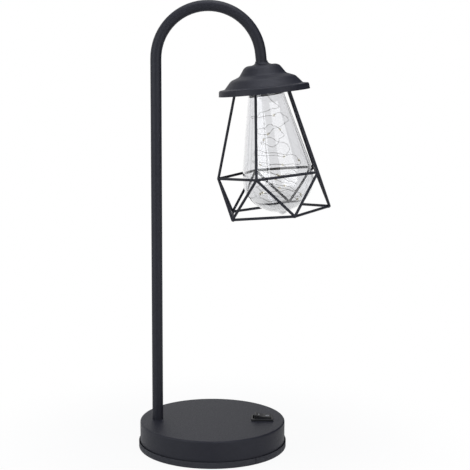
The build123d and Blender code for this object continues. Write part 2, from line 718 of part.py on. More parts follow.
def bulb_holder():
    """Moulded holder: a flat seat clamped under the crown and a leaning cup for the bulb's neck."""
    top = -CANOPY_WALL
    seat = top - HOLDER_FLOOR
    buried = seat + 1
    taper = seat - HOLDER_SLEEVE
    step = HOLDER_END - CAP_THICK
    bore = HOLDER_R - HOLDER_WALL
    room = WASHER_R + WASHER_ROOM
    cup = turned([
        (0, buried),
        (HOLDER_NECK_R, buried),
        (HOLDER_NECK_R, taper),
        (HOLDER_R, taper - HOLDER_TAPER),
        (HOLDER_R, -HOLDER_END),
        (0, -HOLDER_END),
    ])
    hollow = turned([
        (0, buried),
        (room, buried),
        (room, taper - 0.5),
        (bore - HOLDER_STEP, taper - HOLDER_TAPER - 1),
        (bore - HOLDER_STEP, -step),
        (bore, -step),
        (bore, -HOLDER_END - 1),
        (0, -HOLDER_END - 1),
    ])
    disc = post(HOLDER_SEAT_R, seat, top)
    holder = disc + (LEAN * cup - LEAN * hollow - disc)
    return holder - post(NIPPLE_HOLE_R, seat - 1, top + 1)


def holder_cap():
    """Disc that closes the holder, with a hole for the light string."""
    radius = HOLDER_R - HOLDER_WALL - FIT
    cap = post(radius, -HOLDER_END, -HOLDER_END + CAP_THICK)
    return cap - post(CAP_HOLE_R, -HOLDER_END - 1, -HOLDER_END + CAP_THICK + 1)


def bulb_slope():
    """Angle of the bulb's cone to its axis: the line from the neck that touches the shoulder's arc."""
    across = BULB_NECK_R - BULB_RADIUS + BULB_SHOULDER_RADIUS
    down = BULB_WIDEST_DROP - BULB_CONE_TOP
    return atan2(down, across) - acos(BULB_SHOULDER_RADIUS / hypot(across, down))


def between(start, end, distance):
    """The point at a distance from one point towards another."""
    share = distance / hypot(end[0] - start[0], end[1] - start[1])
    return (start[0] + (end[0] - start[0]) * share, start[1] + (end[1] - start[1]) * share)


def bulb_end(inset):
    """Arcs of the bulb's end, from its widest place to the pip where it was sealed."""
    knuckle_centre = (BULB_RADIUS - BULB_KNUCKLE_R, -BULB_WIDEST_DROP)
    out = knuckle_centre[0]
    crown_r = (out ** 2 + BULB_END_DEPTH ** 2 - BULB_KNUCKLE_R ** 2) / (2 * (BULB_END_DEPTH - BULB_KNUCKLE_R))
    crown_centre = (0, -BULB_WIDEST_DROP - BULB_END_DEPTH + crown_r)
    tip_z = -BULB_WIDEST_DROP - BULB_END_DEPTH - BULB_PIP_RISE
    pip_centre = (0, tip_z + BULB_PIP_R)
    apart = crown_centre[1] - pip_centre[1]
    from_crown = crown_r + BULB_PIP_BLEND_R
    from_pip = BULB_PIP_R + BULB_PIP_BLEND_R
    fall = (apart ** 2 + from_crown ** 2 - from_pip ** 2) / (2 * apart)
    blend_centre = (sqrt(from_crown ** 2 - fall ** 2), crown_centre[1] - fall)
    past_crown = (2 * knuckle_centre[0] - crown_centre[0], 2 * knuckle_centre[1] - crown_centre[1])
    ends = [
        (BULB_RADIUS - inset, -BULB_WIDEST_DROP),
        between(knuckle_centre, past_crown, BULB_KNUCKLE_R - inset),
        between(crown_centre, blend_centre, crown_r - inset),
        between(pip_centre, blend_centre, BULB_PIP_R - inset),
        (0, tip_z + inset),
    ]
    centres = [knuckle_centre, crown_centre, blend_centre, pip_centre]
    radii = [BULB_KNUCKLE_R - inset, crown_r - inset, BULB_PIP_BLEND_R + inset, BULB_PIP_R - inset]
    arcs = []
    for start, end, centre, radius in zip(ends, ends[1:], centres, radii):
        half_way = ((start[0] + end[0]) / 2, (start[1] + end[1]) / 2)
        middle = between(centre, half_way, radius)
        arcs.append(ThreePointArc((start[0], 0, start[1]), (middle[0], 0, middle[1]), (end[0], 0, end[1])))
    return arcs, tip_z + inset


def bulb_wall(inset):
    """Half outline of the bulb, drawn in by an even inset: neck, cone, shoulder and end."""
    slope = bulb_slope()
    radius = BULB_RADIUS - inset
    shoulder = BULB_SHOULDER_RADIUS - inset
    centre_r = BULB_RADIUS - BULB_SHOULDER_RADIUS
    join = (centre_r + shoulder * cos(slope), -BULB_WIDEST_DROP + shoulder * sin(slope))
    half = slope / 2
    on_shoulder = (centre_r + shoulder * cos(half), -BULB_WIDEST_DROP + shoulder * sin(half))
    neck_r = BULB_NECK_R - inset
    bend_z = join[1] + (join[0] - neck_r) / tan(slope)
    end_arcs, end_z = bulb_end(inset)
    return [
        Line((0, 0, -BULB_NECK_TOP), (neck_r, 0, -BULB_NECK_TOP)),
        Line((neck_r, 0, -BULB_NECK_TOP), (neck_r, 0, bend_z)),
        Line((neck_r, 0, bend_z), (join[0], 0, join[1])),
        ThreePointArc(
            (join[0], 0, join[1]), (on_shoulder[0], 0, on_shoulder[1]), (radius, 0, -BULB_WIDEST_DROP)
        ),
    ] + end_arcs + [
        Line((0, 0, end_z), (0, 0, -BULB_NECK_TOP)),
    ]


def bulb_envelope():
    """Clear bulb, open at its neck."""
    outer = revolve(make_face(Wire(bulb_wall(0))), Axis.Z)
    inner = revolve(make_face(Wire(bulb_wall(BULB_WALL))), Axis.Z)
    return outer - inner


# Cage: a middle ring and a lower ring turned by half a side, with straight wires between
WIRE_R = WIRE_DIA / 2
SIDE_ANGLE = 360 / CAGE_SIDES
MID_CORNERS = [on_circle(CAGE_RADIUS, 180 + i * SIDE_ANGLE, -CAGE_MID_DROP) for i in range(CAGE_SIDES)]
LOW_CORNERS = [
    on_circle(CAGE_RADIUS, 180 + (i + 0.5) * SIDE_ANGLE, -CAGE_LOW_DROP) for i in range(CAGE_SIDES)
]


def cage_ring(corners):
    """Closed ring of wire, bent at its corners."""
    return tube_along(FilletPolyline(*corners, radius=RING_BEND, close=True), WIRE_R)


def upright_radius(drop):
    """Distance of an upright's centre line from the axis at a depth below the canopy's top."""
    spread = (CAGE_RADIUS - UPRIGHT_RIM_R) / (CAGE_MID_DROP - UPRIGHT_RIM_DROP)
    return CAGE_RADIUS + (drop - CAGE_MID_DROP) * spread


def largest(shape):
    """The biggest solid left after a cut."""
    return shape.solids().sort_by(SortBy.VOLUME)[-1]


def cage_uprights(bell, mid_ring):
    """Wires from the canopy's inside down to the middle ring, trimmed where they are welded."""
    wires = []
    for i, corner in enumerate(MID_CORNERS):
        top = on_circle(upright_radius(0), 180 + i * SIDE_ANGLE, 0)
        wires.append(largest(bar(WIRE_R, top, corner) - bell - mid_ring))
    return wires


def cage_struts(mid_ring, low_ring, uprights):
    """Slanting wires between the two rings, each trimmed by what it is welded to."""
    wires = []
    for i in range(CAGE_SIDES):
        for corner in (MID_CORNERS[i], MID_CORNERS[(i + 1) % CAGE_SIDES]):
            strut = bar(WIRE_R, corner, LOW_CORNERS[i]) - mid_ring - low_ring
            for wire in uprights + wires:
                strut = strut - wire
            wires.append(largest(strut))
    return wires


# Light string

def bulb_room(drop):
    """Inner radius of the bulb at a depth below the canopy's top."""
    cone = BULB_NECK_R - BULB_WALL + (drop - BULB_CONE_TOP) * tan(bulb_slope())
    belly = BULB_RADIUS - BULB_WALL
    if drop > BULB_WIDEST_DROP:
        depth = (drop - BULB_WIDEST_DROP) / (BULB_END_DEPTH - BULB_WALL)
        return belly * sqrt(max(1 - depth ** 2, 0.01))
    return min(cone, belly)


def string_place(u):
    """A loose winding: loops that widen, narrow and tip as they go down."""
    turn = 360 * STRING_LOOPS * u
    fall = 1.5 * u - 0.5 * u * u
    drop = STRING_START + STRING_MARGIN + (STRING_END - STRING_START - 2 * STRING_MARGIN) * fall
    tip = STRING_TIP * sin(radians(turn + 160 * u)) * min(1, 8 * u) * min(1, 4 * (1.05 - u))
    share = 0.60 + 0.17 * sin(radians(900 * u + 40)) + 0.06 * sin(radians(0.37 * turn))
    radius = min(bulb_room(drop), bulb_room(drop + tip)) * share
    return on_circle(radius, turn + 30, -drop - tip)


def string_path():
    """Straight down through the cap, then the winding."""
    start = Vector(0, 0, -LEAD_HEAD_END - LEAD_JOINT)
    entry = Vector(0, 0, -STRING_START + 4)
    points, directions = winding(string_place, STRING_LOOPS)
    down = Vector(0, 0, -1)
    edges = [Line(start, entry)] + arcs_through([entry] + points, [down] + directions)
    return Wire(edges)


def led_string(path):
    """Thin wire of the light string."""
    gap = least_gap(path, STRING_R, 1.0, 25)
    print("light string", round(path.length), "mm long, least gap to itself", round(gap, 2), "mm")
    return tube_along(path, STRING_R)


def led_beads(path):
    """Droplet lights spaced evenly along the string."""
    half = BEAD_LENGTH / 2
    outline = [
        ThreePointArc((BEAD_HOLE_R, 0, -half), (BEAD_R, 0, 0), (BEAD_HOLE_R, 0, half)),
        Line((BEAD_HOLE_R, 0, half), (BEAD_HOLE_R, 0, -half)),
    ]
    bead = revolve(make_face(Wire(outline)), Axis.Z)
    beads = []
    for i in range(STRING_BEADS):
        along = 0.09 + 0.90 * i / (STRING_BEADS - 1)
        beads.append(Plane(origin=path @ along, z_dir=path % along) * bead)
    return beads


# Wiring

def feed_lead():
    """Lead from the light string through the neck to the board in the base."""
    level = BOARD_TOP + LEAD_R + FIT
    route = FilletPolyline(
        (NECK_X, 0, BASE_TOP),
        (NECK_X, 0, level),
        (LANE_LEFT_X, BOX_HALF_Y / 2, level),
        (LANE_LEFT_X, LANE_END_Y, level),
        (BOARD_X - BOARD_LENGTH / 2 + 4, BOARD_Y, level),
        radius=[5.5, 8, 8],
    )
    top = Vector(ARCH_X, 0, ARCH_HEIGHT + ARCH_RADIUS)
    head_end = HEAD_ORIGIN + HEAD_DIR * LEAD_HEAD_END
    path = Wire([
        Line(head_end, ARCH_END),
        ThreePointArc(ARCH_END, top, (NECK_X, 0, ARCH_HEIGHT)),
        Line((NECK_X, 0, ARCH_HEIGHT), (NECK_X, 0, BASE_TOP)),
    ] + list(route.edges()))
    lead = tube_along(path, LEAD_R)
    share = lead.volume / (pi * LEAD_R ** 2 * path.length)
    print("feed lead", round(path.length), "mm long, volume against section times length", round(share, 4))
    return lead


def hookup(points, radii):
    """One insulated wire along straight runs and bends."""
    return tube_along(FilletPolyline(*points, radius=radii), HOOKUP_R)


def wire_minus():
    """From the first cell's flat end round the compartment to the board."""
    out_y = -(BOX_HALF_Y + BOX_WALL + WIRE_LANE + 2)
    end_x = BOARD_X - 6
    return hookup([
        (CELL_X[0], -BOX_HALF_Y, CELL_Z),
        (CELL_X[0], out_y, CELL_Z),
        (LANE_LEFT_X, out_y, CELL_Z),
        (LANE_LEFT_X, LANE_END_Y, CELL_Z),
        (end_x, BOARD_Y, CELL_Z),
        (end_x, BOARD_Y, BOARD_TOP + FIT),
    ], [4, 4, 6, 2])


def wire_plus():
    """From the last cell's nub to the middle blade of the switch."""
    out_y = BOX_HALF_Y + BOX_WALL + WIRE_LANE + 2
    lane_x = LANE_RIGHT_X + LANE_STEP
    blade_x = SWITCH_X - TERMINAL_THICK / 2
    low = (TERMINAL_END + SWITCH_UNDER) / 2
    return hookup([
        (CELL_X[2], BOX_HALF_Y, CELL_Z),
        (CELL_X[2], out_y, CELL_Z),
        (lane_x, out_y - 3, CELL_Z),
        (lane_x, 0, low),
        (blade_x, 0, low),
    ], [4, 5, 4])


def wire_switched():
    """From the edge of the switch's end blade, inside the post, to the board."""
    blade_x = SWITCH_X + TERMINAL_X
    lane_x = LANE_RIGHT_X + 2 * LANE_STEP
    level = BOARD_TOP + HOOKUP_R + FIT
    board_end = BOARD_X + BOARD_LENGTH / 2
    return hookup([
        (blade_x, TERMINAL_WIDTH / 2, level),
        (blade_x, TERMINAL_WIDTH / 2 + 7.6, level),
        (lane_x, BOX_HALF_Y / 2 + 3, level),
        (lane_x, BOX_HALF_Y + 3, level),
        (board_end + 11, BOARD_Y, level),
        (board_end - 4, BOARD_Y, level),
    ], [4, 5, 8, 8])


def circuit_board():
    """Small board that joins the wires to the lead."""
    return slab(BOARD_LENGTH, BOARD_WIDTH, BOARD_THICK, (BOARD_X, BOARD_Y, BOARD_TOP - BOARD_THICK / 2))


def board_pad():
    """Soft pad that holds the board to the plate."""
    return slab(BOARD_LENGTH - 4, BOARD_WIDTH - 3, BOARD_PAD, (BOARD_X, BOARD_Y, PLATE_TOP + BOARD_PAD / 2))


def board_resistor():
    """Resistor that limits the current through the lights."""
    return along_x(RESISTOR_R, RESISTOR_LENGTH, (BOARD_X, BOARD_Y - 3.5, BOARD_TOP + RESISTOR_R))


save("base_shell", base_shell())
save("edge_trim", edge_trim())
save("shell_posts", shell_posts())
save("base_plate", base_plate())
save("plate_screws", plate_screws())
save("battery_door", battery_door())
save("battery_cells", battery_cells())
save("contact_plates", contact_plates())
save("contact_springs", contact_springs())

save("switch_body", switch_body())
save("switch_rocker", switch_rocker())
save("rocker_plunger", rocker_plunger())
save("plunger_spring", plunger_spring())
save("switch_contact", switch_contact())
save("switch_terminals", switch_terminals())

save("neck_tube", neck_tube())
save("foot_nipple", FOOT * nipple(FOOT_NIPPLE_Z, BASE_TOP + NIPPLE_IN_TUBE))
save("foot_washer", FOOT * washer(FOOT_WASHER_Z))
save("foot_nut", FOOT * nut(FOOT_NUT_Z))
save("head_nipple", HEAD * nipple(HEAD_NIPPLE_Z, NIPPLE_IN_TUBE))
save("head_washer", HEAD * washer(HEAD_WASHER_Z))
save("head_nut", HEAD * nut(HEAD_NUT_Z))

bell = canopy()
mid_ring = cage_ring(MID_CORNERS)
low_ring = cage_ring(LOW_CORNERS)
uprights = cage_uprights(bell, mid_ring)
struts = cage_struts(mid_ring, low_ring, uprights)
string_line = string_path()
save("neck_collar", HEAD * neck_collar())
save("canopy", HEAD * bell)
save("bulb_holder", HEAD * bulb_holder())
save("holder_cap", BULB * holder_cap())
save("bulb_envelope", BULB * bulb_envelope())
save("cage_mid_ring", HEAD * mid_ring)
save("cage_bottom_ring", HEAD * low_ring)
save("cage_uprights", Compound(children=[HEAD * wire for wire in uprights]))
save("cage_struts", Compound(children=[HEAD * wire for wire in struts]))
save("led_string", BULB * led_string(string_line))
save("led_beads", Compound(children=[BULB * bead for bead in led_beads(string_line)]))

save("feed_lead", feed_lead())
save("wire_minus", wire_minus())
save("wire_plus", wire_plus())
save("wire_switched", wire_switched())
save("circuit_board", circuit_board())
save("board_pad", board_pad())
save("board_resistor", board_resistor())

print(len(made), "nodes written")
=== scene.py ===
# %% [markdown]
# # A battery table lamp, dressed in Blender
# The lamp's solids come from its CAD model, which is already packed with its
# bodies and joints. This script keeps them where they are and gives them their
# looks: powder-coated steel, moulded plastic, a clear bulb and the string of
# tiny lights in it. Lengths are metres, +Z is up, and +X runs from the neck to
# the head.

# %% Load the frame
import json
import math

import bmesh
import bpy
from mathutils import Matrix, Vector

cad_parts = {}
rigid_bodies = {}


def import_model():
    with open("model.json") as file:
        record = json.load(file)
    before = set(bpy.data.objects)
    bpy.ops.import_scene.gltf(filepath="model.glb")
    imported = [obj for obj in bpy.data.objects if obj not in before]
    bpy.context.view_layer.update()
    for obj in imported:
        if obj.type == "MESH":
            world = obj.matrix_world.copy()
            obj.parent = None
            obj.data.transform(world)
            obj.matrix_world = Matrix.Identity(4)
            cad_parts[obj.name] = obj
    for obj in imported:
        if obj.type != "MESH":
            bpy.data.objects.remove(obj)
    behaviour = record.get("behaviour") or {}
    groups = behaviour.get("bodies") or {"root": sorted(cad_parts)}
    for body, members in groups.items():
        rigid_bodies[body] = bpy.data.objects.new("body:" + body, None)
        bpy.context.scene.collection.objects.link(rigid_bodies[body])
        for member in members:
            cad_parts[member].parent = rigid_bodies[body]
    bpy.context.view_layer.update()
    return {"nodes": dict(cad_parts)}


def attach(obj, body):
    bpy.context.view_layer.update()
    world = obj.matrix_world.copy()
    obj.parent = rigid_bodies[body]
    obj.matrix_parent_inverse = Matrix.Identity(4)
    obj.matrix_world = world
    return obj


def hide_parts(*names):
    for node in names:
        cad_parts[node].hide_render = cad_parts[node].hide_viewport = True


for leftover in list(bpy.data.objects):
    bpy.data.objects.remove(leftover)
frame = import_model()

# %% [markdown]
# ## Where things are
# The neck is a tube that goes straight up, bends over in an arch of one radius
# and ends in the head. The head's pieces are all turned about one axis, which
# leans a few degrees, so they are easiest to draw upright with the canopy's top
# at zero and then to move into place with one matrix. The bulb hangs a little
# further out than the canopy, so what is in it has a second matrix.

# %% The lamp's own sizes
NECK_X = -0.0522
ARCH_RADIUS = 0.0479
ARCH_HEIGHT = 0.365
HEAD_TILT = math.radians(6.0)
HEAD_RUN = 0.0102

arch_end = Vector((
    NECK_X + ARCH_RADIUS * (1 + math.cos(HEAD_TILT)),
    0,
    ARCH_HEIGHT + ARCH_RADIUS * math.sin(HEAD_TILT),
))
head_down = Vector((math.sin(HEAD_TILT), 0, -math.cos(HEAD_TILT)))
HEAD = Matrix.Translation(arch_end + head_down * HEAD_RUN) @ Matrix.Rotation(-HEAD_TILT, 4, "Y")
print("head at", [round(1000 * x, 1) for x in HEAD.translation], "mm")

BULB_LEAN = math.radians(2.8)
BULB_PIVOT = Matrix.Translation((0, 0, -0.0025))
BULB = HEAD @ BULB_PIVOT @ Matrix.Rotation(-BULB_LEAN, 4, "Y") @ BULB_PIVOT.inverted()
print("bulb leans", round(math.degrees(HEAD_TILT + BULB_LEAN), 1), "degrees from upright")

# %% [markdown]
# ## Camera
# The picture this lamp is matched to is square, taken from the front and a
# little above with a long lens. A camera can be aimed with a constraint, but a
# matrix made from three directions says exactly where it looks and how far it
# rolls.

# %% New objects
scene = bpy.context.scene


def new_object(name, data):
    """An object of the scene that shows a camera, a mesh, a curve or a lamp."""
    thing = bpy.data.objects.new(name, data)
    scene.collection.objects.link(thing)
    return thing


print("scene:", scene.name)

# %% Camera
IMAGE_SIDE = 470
FOCAL_PIXELS = 1200.0
SENSOR_WIDTH = 36.0
NEAREST_SEEN = 0.05
CAMERA_PLACE = Vector((0.0207, -1.10623, 0.36913))
CAMERA_PITCH = math.radians(8.56)
CAMERA_ROLL = math.radians(0.24)

camera_data = bpy.data.cameras.new("camera")
camera_data.sensor_width = SENSOR_WIDTH
camera_data.lens = SENSOR_WIDTH * FOCAL_PIXELS / IMAGE_SIDE
camera_data.clip_start = NEAREST_SEEN
camera = new_object("camera", camera_data)
forward = Vector((0, math.cos(CAMERA_PITCH), -math.sin(CAMERA_PITCH)))
level_right = Vector((1, 0, 0))
level_up = level_right.cross(forward)
right = math.cos(CAMERA_ROLL) * level_right + math.sin(CAMERA_ROLL) * level_up
up = math.cos(CAMERA_ROLL) * level_up - math.sin(CAMERA_ROLL) * level_right
aim = Matrix((right, up, -forward)).transposed().to_4x4()
camera.matrix_world = Matrix.Translation(CAMERA_PLACE) @ aim
scene.camera = camera
scene.view_settings.view_transform = "Standard"
print("lens", round(camera_data.lens, 1), "mm")

# %% [markdown]
# ## Finishes
# Every finish on the lamp is the same kind of thing: a colour that is not quite
# even, a gloss that is not quite even, and a fine relief. One function builds
# that out of noise on Object coordinates, which are metres here, so a grain of
# 0.4 mm is a noise of scale 1 / 0.0004. Each finish then only says its numbers.
# Adding nodes one by one is long-winded, so a helper adds a node with its inputs.

# %% Helpers for nodes
def add(tree, kind, inputs=None, **settings):
    """A node with its settings, its inputs given as values or as sockets to link."""
    node = tree.nodes.new(kind)
    for label, value in settings.items():
        setattr(node, label, value)
    for label, value in (inputs or {}).items():
        if isinstance(value, bpy.types.NodeSocket):
            tree.links.new(value, node.inputs[label])
        else:
            node.inputs[label].default_value = value
    return node


def calc(tree, operation, *values):
    """What a Math node makes of values or sockets."""
    return add(tree, "ShaderNodeMath", dict(enumerate(values)), operation=operation).outputs[0]


def grain(tree, size, detail):
    """Noise on Object coordinates whose lumps are about size metres across."""
    place = tree.nodes["Texture Coordinate"].outputs["Object"]
    noise = add(tree, "ShaderNodeTexNoise", {"Vector": place, "Scale": 1.0 / size, "Detail": detail})
    return noise.outputs["Fac"]


print("node helpers: add, calc and grain")

# %% A function for finishes
NOISE_LOW = 0.3
NOISE_HIGH = 0.7
TONE_DETAIL = 2.0
RELIEF_DETAIL = 3.0


def finish(name, dark, light, mottle, gloss, relief, metallic=0.0, specular=0.5):
    """A material: two colours mixed by mottle, roughness within gloss, bumps from relief.

    mottle is a size in metres, gloss a pair of roughnesses, relief (size, depth) in metres.
    """
    material = bpy.data.materials.new(name)
    material.use_nodes = True
    tree = material.node_tree
    shader = tree.nodes["Principled BSDF"]
    shader.inputs["Metallic"].default_value = metallic
    shader.inputs["Specular IOR Level"].default_value = specular
    add(tree, "ShaderNodeTexCoord")

    tone = grain(tree, mottle, TONE_DETAIL)
    colours = {"Factor": tone, "A": (*dark, 1), "B": (*light, 1)}
    mix = add(tree, "ShaderNodeMix", colours, data_type="RGBA")
    tree.links.new(mix.outputs["Result"], shader.inputs["Base Color"])

    spread = add(
        tree,
        "ShaderNodeMapRange",
        {
            "Value": grain(tree, mottle / 3, TONE_DETAIL),
            "From Min": NOISE_LOW,
            "From Max": NOISE_HIGH,
            "To Min": gloss[0],
            "To Max": gloss[1],
        },
    )
    tree.links.new(spread.outputs["Result"], shader.inputs["Roughness"])

    height = grain(tree, relief[0], RELIEF_DETAIL)
    bump = add(tree, "ShaderNodeBump", {"Strength": 1.0, "Distance": relief[1], "Height": height})
    tree.links.new(bump.outputs["Normal"], shader.inputs["Normal"])
    return material


print("noise is used from", NOISE_LOW, "to", NOISE_HIGH)

# %% [markdown]
# ## Coated steel, rubber and plastics
# The base, the neck, the canopy and the cage are steel with a charcoal powder
# coat. Powder melts into a skin with a fine pebbled relief, called orange peel,
# and a satin gloss. The trim round the base's edge is soft rubber. The base
# plate and the battery door are moulded with a spark-eroded texture, and the
# switch is smoother.

# %% Coats and mouldings
FINISHES = {
    "charcoal_coat": finish(
        "charcoal_coat", (0.0130, 0.0136, 0.0200), (0.0168, 0.0175, 0.0255), 0.004, (0.47, 0.59),
        (0.0006, 0.00003), specular=0.22
    ),
    "edge_rubber": finish(
        "edge_rubber", (0.020, 0.0205, 0.027), (0.027, 0.0275, 0.035), 0.006, (0.6, 0.8),
        (0.0009, 0.00003), specular=0.3
    ),
    "base_plastic": finish(
        "base_plastic", (0.019, 0.019, 0.021), (0.025, 0.025, 0.027), 0.003, (0.5, 0.68), (0.0004, 0.00004)
    ),
    "switch_plastic": finish(
        "switch_plastic", (0.008, 0.008, 0.010), (0.012, 0.012, 0.014), 0.003, (0.42, 0.55),
        (0.0005, 0.000006), specular=0.25
    ),
    "nylon": finish("nylon", (0.76, 0.75, 0.70), (0.83, 0.82, 0.78), 0.003, (0.4, 0.55), (0.0006, 0.00001)),
    "mark_paint": finish(
        "mark_paint", (0.40, 0.41, 0.43), (0.50, 0.51, 0.53), 0.0006, (0.4, 0.6), (0.0003, 0.00001)
    ),
}
print(len(FINISHES), "coats and mouldings")

# %% [markdown]
# ## Metals and the insides
# Zinc plating is slightly cloudy, nickel and brass contacts are brighter. Wires
# have smooth jackets, and the board has the green of solder resist.

# %% Metals and inner finishes
FINISHES.update({
    "zinc_steel": finish(
        "zinc_steel", (0.52, 0.53, 0.55), (0.68, 0.68, 0.68), 0.002, (0.25, 0.45), (0.0005, 0.00001), 1.0
    ),
    "nickel_contact": finish(
        "nickel_contact", (0.60, 0.58, 0.54), (0.72, 0.70, 0.66), 0.003, (0.18, 0.32),
        (0.0008, 0.00001), 1.0
    ),
    "brass_contact": finish(
        "brass_contact", (0.68, 0.50, 0.22), (0.80, 0.62, 0.32), 0.003, (0.2, 0.38), (0.0008, 0.00001), 1.0
    ),
    "string_wire": finish(
        "string_wire", (0.11, 0.105, 0.10), (0.19, 0.18, 0.165), 0.002, (0.25, 0.4), (0.0005, 0.000005), 1.0
    ),
    "cell_sleeve": finish(
        "cell_sleeve", (0.22, 0.24, 0.27), (0.28, 0.30, 0.33), 0.006, (0.25, 0.35), (0.001, 0.000005)
    ),
    "lead_jacket": finish(
        "lead_jacket", (0.025, 0.025, 0.025), (0.035, 0.035, 0.035), 0.002, (0.5, 0.65), (0.0008, 0.00001)
    ),
    "red_insulation": finish(
        "red_insulation", (0.45, 0.04, 0.03), (0.55, 0.06, 0.05), 0.002, (0.35, 0.5), (0.0008, 0.000005)
    ),
    "board": finish("board", (0.03, 0.16, 0.08), (0.06, 0.24, 0.12), 0.002, (0.3, 0.45), (0.0008, 0.00001)),
    "foam": finish("foam", (0.80, 0.79, 0.75), (0.90, 0.89, 0.85), 0.001, (0.8, 0.95), (0.0006, 0.0001)),
    "resistor": finish(
        "resistor", (0.56, 0.44, 0.28), (0.68, 0.56, 0.38), 0.002, (0.25, 0.35), (0.0008, 0.000005)
    ),
    "phosphor": finish(
        "phosphor", (0.94, 0.88, 0.66), (0.97, 0.92, 0.74), 0.0006, (0.5, 0.7), (0.0003, 0.00001)
    ),
})
print(len(FINISHES), "finishes so far")

# %% [markdown]
# ## Clear bulb and resin
# Clear materials are mostly decided by three sockets: full transmission, the
# index of refraction, and a low roughness. A blown bulb's wall is never quite
# even, which shows as slow ripples in what is seen through it, so its relief is
# large and shallow instead of fine. Its tint follows the height instead of noise:
# that is painted shade, which makes the glass greyer towards its round end.

# %% Clear finishes
def clear_finish(name, dark, light, mottle, index, gloss, relief):
    """A see-through finish: the same noise as the others, with light going through."""
    material = finish(name, dark, light, mottle, gloss, relief)
    shader = material.node_tree.nodes["Principled BSDF"]
    shader.inputs["Transmission Weight"].default_value = 1.0
    shader.inputs["IOR"].default_value = index
    return material


def paint_shade_by_height(material, low, high):
    """Painted shade: lead a finish from its dark colour at one height to its light colour at another."""
    tree = material.node_tree
    place = tree.nodes["Texture Coordinate"].outputs["Object"]
    height = add(tree, "ShaderNodeSeparateXYZ", {"Vector": place}).outputs["Z"]
    climb = add(tree, "ShaderNodeMapRange", {"Value": height, "From Min": low, "From Max": high})
    tree.links.new(climb.outputs["Result"], tree.nodes["Mix"].inputs["Factor"])


FINISHES["clear_glass"] = clear_finish(
    "clear_glass", (0.69, 0.695, 0.70), (0.862, 0.864, 0.876), 0.03, 1.47, (0.0, 0.01), (0.03, 0.000015)
)
FINISHES["light_drops"] = clear_finish(
    "light_drops", (1.0, 0.95, 0.80), (1.0, 0.97, 0.88), 0.001, 1.5, (0.02, 0.06), (0.0015, 0.00002)
)
print(len(FINISHES), "finishes in all")

# %% [markdown]
# ## The CAD pieces that stay
# Most pieces already have the right shape, so they only get their finish. The
# list says which finish each one wears.

# %% Dress the CAD pieces
WORN = {
    "charcoal_coat": (
        "base_shell", "shell_posts", "neck_tube", "neck_collar", "canopy",
        "cage_mid_ring", "cage_bottom_ring", "cage_uprights", "cage_struts",
    ),
    "base_plastic": ("base_plate", "battery_door", "bulb_holder"),
    "switch_plastic": ("switch_body", "switch_rocker"),
    "nylon": ("rocker_plunger", "holder_cap"),
    "zinc_steel": (
        "plate_screws", "foot_nipple", "foot_washer", "foot_nut", "head_nipple", "head_washer", "head_nut",
    ),
    "nickel_contact": ("contact_plates",),
    "brass_contact": ("switch_contact", "switch_terminals"),
    "cell_sleeve": ("battery_cells",),
    "lead_jacket": ("feed_lead", "wire_minus"),
    "red_insulation": ("wire_plus", "wire_switched"),
    "board": ("circuit_board",),
    "foam": ("board_pad",),
    "resistor": ("board_resistor",),
}


def wear(thing, finish_name):
    """Give a mesh object one finish."""
    thing.data.materials.clear()
    thing.data.materials.append(FINISHES[finish_name])


for finish_name, names in WORN.items():
    for name in names:
        wear(frame["nodes"][name], finish_name)
print("dressed", sum(len(names) for names in WORN.values()), "CAD pieces")

# %% [markdown]
# ## Turned pieces
# The bulb and the edge trim are bodies of revolution. Blender has a Screw
# modifier for that, but rings of vertices made in a loop give clean quads, a
# single vertex on the axis, and a joint in the ring where one is wanted.

# %% Functions for turned pieces
TINY = 1e-9


def keep_mesh(name, mesh, place):
    """Make a drawn mesh an object: its faces outwards, its place in its points."""
    bmesh.ops.recalc_face_normals(mesh, faces=mesh.faces)
    mesh.transform(place)
    data = bpy.data.meshes.new(name)
    mesh.to_mesh(data)
    mesh.free()
    return new_object(name, data)


def turn(name, outline, steps, place=Matrix.Identity(4), start=0.0, sweep=2 * math.pi):
    """A closed outline of (radius, height) points turned about Z, then put in place."""
    whole = abs(sweep - 2 * math.pi) < TINY
    count = steps if whole else steps + 1
    angles = [start + sweep * i / steps for i in range(count)]
    mesh = bmesh.new()
    rings = []
    for radius, height in outline:
        if radius < TINY:
            rings.append([mesh.verts.new((0, 0, height))])
            continue
        rings.append([
            mesh.verts.new((radius * math.cos(a), radius * math.sin(a), height)) for a in angles
        ])
    for ring, following in zip(rings, rings[1:] + rings[:1]):
        for i in range(steps):
            corners = []
            for vertex in (
                ring[i % len(ring)],
                ring[(i + 1) % len(ring)],
                following[(i + 1) % len(following)],
                following[i % len(following)],
            ):
                if vertex not in corners:
                    corners.append(vertex)
            if len(corners) > 2:
                mesh.faces.new(corners)
    if not whole:
        mesh.faces.new([ring[0] for ring in rings])
        mesh.faces.new([ring[-1] for ring in reversed(rings)])
    return keep_mesh(name, mesh, place)


print("mesh helpers: keep_mesh and turn")


# %% Shading and arcs
def smooth(piece, degrees):
    """Smooth shading, with edges sharper than the angle kept sharp."""
    piece.data.shade_smooth()
    piece.data.set_sharp_from_angle(angle=math.radians(degrees))


def arc(centre, radius, first, last, count):
    """Points on an arc in the plane of an outline, angles in degrees from outward to up."""
    points = []
    for i in range(count + 1):
        angle = math.radians(first + (last - first) * i / count)
        points.append((centre[0] + radius * math.cos(angle), centre[1] + radius * math.sin(angle)))
    return points


print("a quarter in six steps has", len(arc((0, 0), 1, 0, 90, 6)), "points")

# %% [markdown]
# ## Bulb
# The bulb is a clear pear: a short neck over the holder, a cone, a shoulder of
# large radius and a rounded end with the little pip where it was sealed off. Its
# wall has a real thickness, because light bends at both of its faces, and that is
# what draws the grey lines down its sides. Both faces are the same chain of arcs,
# the inner one drawn in by the wall.

